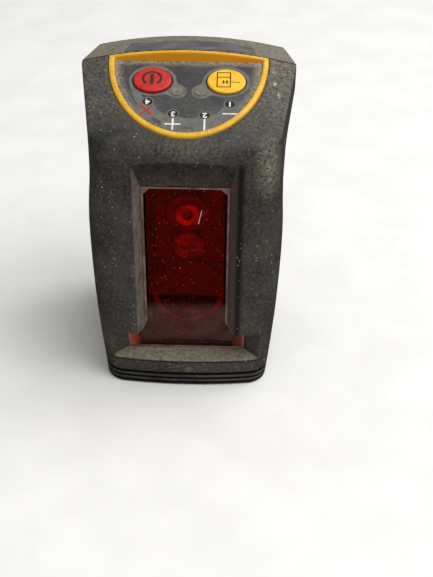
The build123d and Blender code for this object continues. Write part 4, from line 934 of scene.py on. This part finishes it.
def white_print(x, y):
    """A plus, an upright line and a level line."""
    strokes = []
    for centre, turns in ((PLUS_AT, ((1, 0), (0, 1))), (UPRIGHT_AT, ((0, 1),)), (LEVEL_AT, ((1, 0),))):
        for turn in turns:
            reach = np.multiply(turn, SYMBOL_HALF)
            strokes.append(stroke(x, y, np.subtract(centre, reach), np.add(centre, reach), SYMBOL_WIDTH))
    return np.minimum.reduce(strokes)


def red_print(x, y):
    """A slanting cross."""
    strokes = []
    for slant in (-1, 1):
        reach = np.multiply((1, slant), SYMBOL_HALF * 0.8)
        start, end = np.subtract(CROSS_AT, reach), np.add(CROSS_AT, reach)
        strokes.append(stroke(x, y, start, end, SYMBOL_WIDTH * 1.2))
    return np.minimum.reduce(strokes)


def numeral(text, at_mm, material):
    """Print one numeral, upside down, on the film."""
    letter = bpy.data.curves.new("numeral_" + text, "FONT")
    letter.body = text
    letter.size = NUMERAL_SIZE_MM / 1000
    letter.align_x = "CENTER"
    letter.align_y = "CENTER"
    letter.extrude = INK_THICK_MM / 1000
    letter.offset = NUMERAL_BOLD_MM / 1000
    outline = bpy.data.objects.new("numeral_" + text, letter)
    bpy.context.scene.collection.objects.link(outline)
    mesh = bpy.data.meshes.new_from_object(outline.evaluated_get(bpy.context.evaluated_depsgraph_get()))
    bpy.data.objects.remove(outline)
    origin, across, up = keypad
    place = origin + across * (at_mm[0] / 1000) + up * (at_mm[1] / 1000) + out * (INK_THICK_MM / 1000)
    turn = Matrix((-across, -up, out)).transposed().to_4x4()
    mesh.transform(Matrix.Translation(place) @ turn)
    piece = bpy.data.objects.new("numeral_" + text, mesh)
    bpy.context.scene.collection.objects.link(piece)
    piece.data.materials.clear()
    piece.data.materials.append(material)
    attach(piece, "housing")


dress(polyester_film(), "keypad_overlay")
press = next(joint["axis"] for joint in frame["joints"] if joint["name"] == "power_key_press")
out = -Vector(press)
across = Vector((1, 0, 0))
up = out.cross(across)
film_level = max(out.dot(vertex.co) for vertex in frame["nodes"]["keypad_overlay"].data.vertices)
between_keys = sum((corner for node in ("power_key", "pulse_key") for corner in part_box(node)), Vector()) / 4
keypad = (between_keys + out * (film_level - out.dot(between_keys)), across, up)
inks = {name: clouded(name + "_screen_ink", *tones, 3.0, 0.55) for name, tones in (
    ("grey", INK_GREY), ("black", INK_BLACK), ("white", INK_WHITE), ("red", INK_RED))}
lay("grey_print", grey_print, PRINT_CORNERS, keypad, INK_THICK_MM, inks["grey"])
lay("black_print", black_print, PRINT_CORNERS, keypad, INK_THICK_MM, inks["black"])
on_grey = (keypad[0] + out * (INK_THICK_MM / 1000), across, up)
lay("white_symbols", white_print, PRINT_CORNERS, on_grey, INK_THICK_MM, inks["white"])
lay("red_symbol", red_print, PRINT_CORNERS, on_grey, INK_THICK_MM, inks["red"])
for text, at_mm in NUMERALS.items():
    numeral(text, at_mm, inks["white"])


# Keys
# Two domed silicone keys, red for power and yellow for the pulse mode, that push on the switches below.
# Each has a symbol printed on its crown: the power sign, and a level that sends out a dashed beam.
KEY_VOXEL_MM = 0.2
KEY_ROUNDING = 3
KEY_DOME_MM = 0.3
KEY_TRAVEL_MM = 0.6
KEY_ROOM_MM = 0.3
KEY_RED = ("#c9211b", "#a81712")
KEY_YELLOW = ("#f8c428", "#eab01c")
KEY_WEAR_MM = 3.0
SIGN_CORNERS = ((-7.0, -6.5), (7.0, 6.5))
SIGN_BROWN = ("#3a1f16", "#4a2a1c")
POWER_CENTRE = (-0.2, 0.4)
POWER_R = 3.4
POWER_WIDTH = 1.05
POWER_GAP = 1.4
POWER_BAR = (-2.4, 2.2)
LEVEL_CORNERS = ((-3.5, -3.5), (1.5, 4.2))
LEVEL_LINE = 0.42
LEVEL_SPLIT = 1.6
EYES_X = (-1.1, 0.2)
EYES_Y = (-1.5, -0.4)
EYES_WIDTH = 0.7
BEAM_Y = -0.9
DASHES_X = (2.0, 3.2, 4.4)
DASH_LENGTH = 0.6


def silicone(name, bright, deep):
    """Soft satin silicone with a faint cloud of handling wear."""
    rubber_key = blank(name)
    wear = patches(rubber_key, KEY_WEAR_MM, 0.4, 0.7)
    tone = coat(rubber_key, bright, deep, wear)
    return surface(rubber_key, {"Base Color": tone, "Roughness": 0.4, "IOR": 1.43}, wear, 0.02)


def crown(piece, centre):
    """Raise what lies above the film into the low dome of a key."""
    places = points_of(piece)
    away = places - np.array(centre)
    wide = away @ np.array(across) * 1000 / KEY_HALF[0]
    tall = away @ np.array(up) * 1000 / KEY_HALF[1]
    above = places @ np.array(out) > film_level
    lift = np.where(above, np.clip(1 - wide ** 2 - tall ** 2, 0, 1), 0) * KEY_DOME_MM / 1000
    places += lift[:, None] * np.array(out)
    piece.data.vertices.foreach_set("co", places.ravel().astype(np.float32))
    piece.data.update()


def power_sign(x, y):
    """An open ring with an upright bar through its gap."""
    wide, tall = np.abs(x - POWER_CENTRE[0]), y - POWER_CENTRE[1]
    ring = np.maximum(np.abs(np.hypot(wide, tall) - POWER_R) - POWER_WIDTH / 2, -tall - wide * POWER_GAP)
    ends = [(POWER_CENTRE[0], end) for end in POWER_BAR]
    bar = stroke(x, y, *ends, POWER_WIDTH * 1.3)
    return np.minimum(ring, bar)


def pulse_sign(x, y):
    """A small standing tool with a line across it and a dashed beam to its side."""
    (left, low), (right, high) = LEVEL_CORNERS
    sides = [(left, low), (right, low), (right, high), (left, high)]
    strokes = [stroke(x, y, one, other, LEVEL_LINE) for one, other in zip(sides, sides[1:] + sides[:1])]
    strokes.append(stroke(x, y, (left, LEVEL_SPLIT), (right, LEVEL_SPLIT), LEVEL_LINE))
    for eye in EYES_X:
        strokes.append(stroke(x, y, (eye, EYES_Y[0]), (eye, EYES_Y[1]), EYES_WIDTH))
    for start in DASHES_X:
        strokes.append(stroke(x, y, (start, BEAM_Y), (start + DASH_LENGTH, BEAM_Y), LEVEL_LINE))
    return np.minimum.reduce(strokes)


sign_ink = clouded("brown_key_ink", *SIGN_BROWN, 2.0, 0.5)
for node, sign, finish in (("power_key", power_sign, silicone("red_silicone", *KEY_RED)),
                           ("pulse_key", pulse_sign, silicone("yellow_silicone", *KEY_YELLOW))):
    key = soften(node, KEY_VOXEL_MM, KEY_ROUNDING)

    # The pocket moulded in the shell leaves each key room to travel.
    room = bpy.data.objects.new("key_room", key.data.copy())
    bpy.context.scene.collection.objects.link(room)
    work(room, "DISPLACE", strength=KEY_ROOM_MM / 1000, mid_level=0.0)
    for drop_mm in (0, KEY_TRAVEL_MM):
        room.location = -out * drop_mm / 1000
        work(front, "BOOLEAN", operation="DIFFERENCE", solver="MANIFOLD", object=room)
    bpy.data.objects.remove(room)

    low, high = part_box(node)
    centre = (low + high) / 2
    crown(key, centre)
    dress(finish, key)
    key_level = max(out.dot(vertex.co) for vertex in frame["nodes"][node].data.vertices)
    key_top = (centre + out * (key_level - out.dot(centre)), across, up)
    printed = lay(node + "_sign", sign, SIGN_CORNERS, key_top, INK_THICK_MM, sign_ink, node)
    crown(printed, centre)


# Name plate
# A bare film plate, bluish grey and scuffed, glued into a shallow bed in the rear shell's top.
# It lies flush, so only its edge and its smoother skin set it off from the shell.
PLATE_DARK = "#3c3e41"
PLATE_LIGHT = "#6d6b67"
PLATE_SCUFF_MM = 5.0


def plate_film():
    """Bare satin film with pale scuffs along it."""
    film = blank("bare_plate_film")
    scuffs = patches(film, PLATE_SCUFF_MM, 0.4, 0.75, stretch=(0.4, 1.0, 1.0))
    tone = coat(film, PLATE_DARK, PLATE_LIGHT, scuffs)
    return surface(film, {"Base Color": tone, "Roughness": 0.4, "IOR": 1.57}, scuffs, 0.01)


dress(plate_film(), "name_plate")


# Floor, light and camera
# A white paper sweep under one large soft light from above and to the right, with light all round.
# The camera stands in front of the tool and looks down at it, as a person at a bench does.
FLOOR_SIDE = 6.0
FLOOR_WHITE = "#f4f3f1"
FLOOR_GREY = "#efeeeb"
FLOOR_FIBRE_MM = 30.0
ROOM_LIGHT = 0.42
DARK_BELOW = 0.02
CARD_MM = ((-60, -84, 0.2), (60, -84, 0.2), (60, -42, 0.2), (-60, -42, 0.2))
CARD_FADE_MM = (-73, -81)
CARD_GREY = "#e6c4b6"
CARD_DARK = "#b58c7e"
CARD_BLACK = "#0a0908"
CARD_CLOUD_MM = 12.0
LAMP_PLACE = (0.7, -0.1, 1.3)
LAMP_SIDE = 1.5
LAMP_WATTS = 23.0
CAMERA_PLACE_MM = (16.39, -358.10, 283.68)
CAMERA_TURN = 0.7
CAMERA_DIP = 36.0
CAMERA_ROLL = 0.85
CAMERA_LENS = 62.4
CAMERA_SENSOR = 36.0

half = FLOOR_SIDE / 2
floor_mesh = bpy.data.meshes.new("floor")
floor_corners = [(-half, -half, 0), (half, -half, 0), (half, half, 0), (-half, half, 0)]
floor_mesh.from_pydata(floor_corners, [], [(0, 1, 2, 3)])
floor = bpy.data.objects.new("floor", floor_mesh)
bpy.context.scene.collection.objects.link(floor)
paper = blank("white_paper")
tone = coat(paper, FLOOR_WHITE, FLOOR_GREY, patches(paper, FLOOR_FIBRE_MM, 0.4, 0.6))
dress(surface(paper, {"Base Color": tone, "Roughness": 0.9}), floor)

# Shiny pieces see a dark room below the table top instead of the paper, and a grey card in front.
floor.visible_glossy = False
card_mesh = bpy.data.meshes.new("grey_card")
card_mesh.from_pydata([Vector(corner) / 1000 for corner in CARD_MM], [], [(0, 1, 2, 3)])
card = bpy.data.objects.new("grey_card", card_mesh)
bpy.context.scene.collection.objects.link(card)
card.visible_camera = False
card.visible_diffuse = False
card.visible_shadow = False
grey = blank("grey_card")
tone = coat(grey, CARD_GREY, CARD_DARK, patches(grey, CARD_CLOUD_MM, 0.35, 0.7))
tone = coat(grey, tone, CARD_BLACK, along(grey, "Y", *CARD_FADE_MM))
dress(surface(grey, {"Base Color": tone, "Roughness": 0.9}), card)
world = bpy.data.worlds.new("room")
world.use_nodes = True
world.node_tree.nodes.clear()
way = add(world, "TexCoord", out="Generated")
height = add(world, "SeparateXYZ", {"Vector": way}, out="Z")
light = add(world, "MapRange", {"Value": height, "From Min": -0.05, "From Max": 0.05,
                                "To Min": DARK_BELOW, "To Max": ROOM_LIGHT})
add(world, "OutputWorld", {"Surface": add(world, "Background", {"Color": light})})
bpy.context.scene.world = world
bpy.context.scene.view_settings.view_transform = "Standard"

lamp = bpy.data.objects.new("soft_lamp", bpy.data.lights.new("soft_lamp", "AREA"))
lamp.data.size = LAMP_SIDE
lamp.data.energy = LAMP_WATTS
lamp.location = LAMP_PLACE
lamp.rotation_euler = Vector(LAMP_PLACE).to_track_quat("Z", "Y").to_euler()
bpy.context.scene.collection.objects.link(lamp)

camera = bpy.data.objects.new("camera", bpy.data.cameras.new("camera"))
camera.data.lens = CAMERA_LENS
camera.data.sensor_width = CAMERA_SENSOR
turn = Matrix.Rotation(math.radians(CAMERA_TURN), 4, "Z")
dip = Matrix.Rotation(math.radians(90 - CAMERA_DIP), 4, "X")
roll = Matrix.Rotation(math.radians(CAMERA_ROLL), 4, "Z")
camera.matrix_world = Matrix.Translation(Vector(CAMERA_PLACE_MM) / 1000) @ turn @ dip @ roll
bpy.context.scene.collection.objects.link(camera)
bpy.context.scene.camera = camera
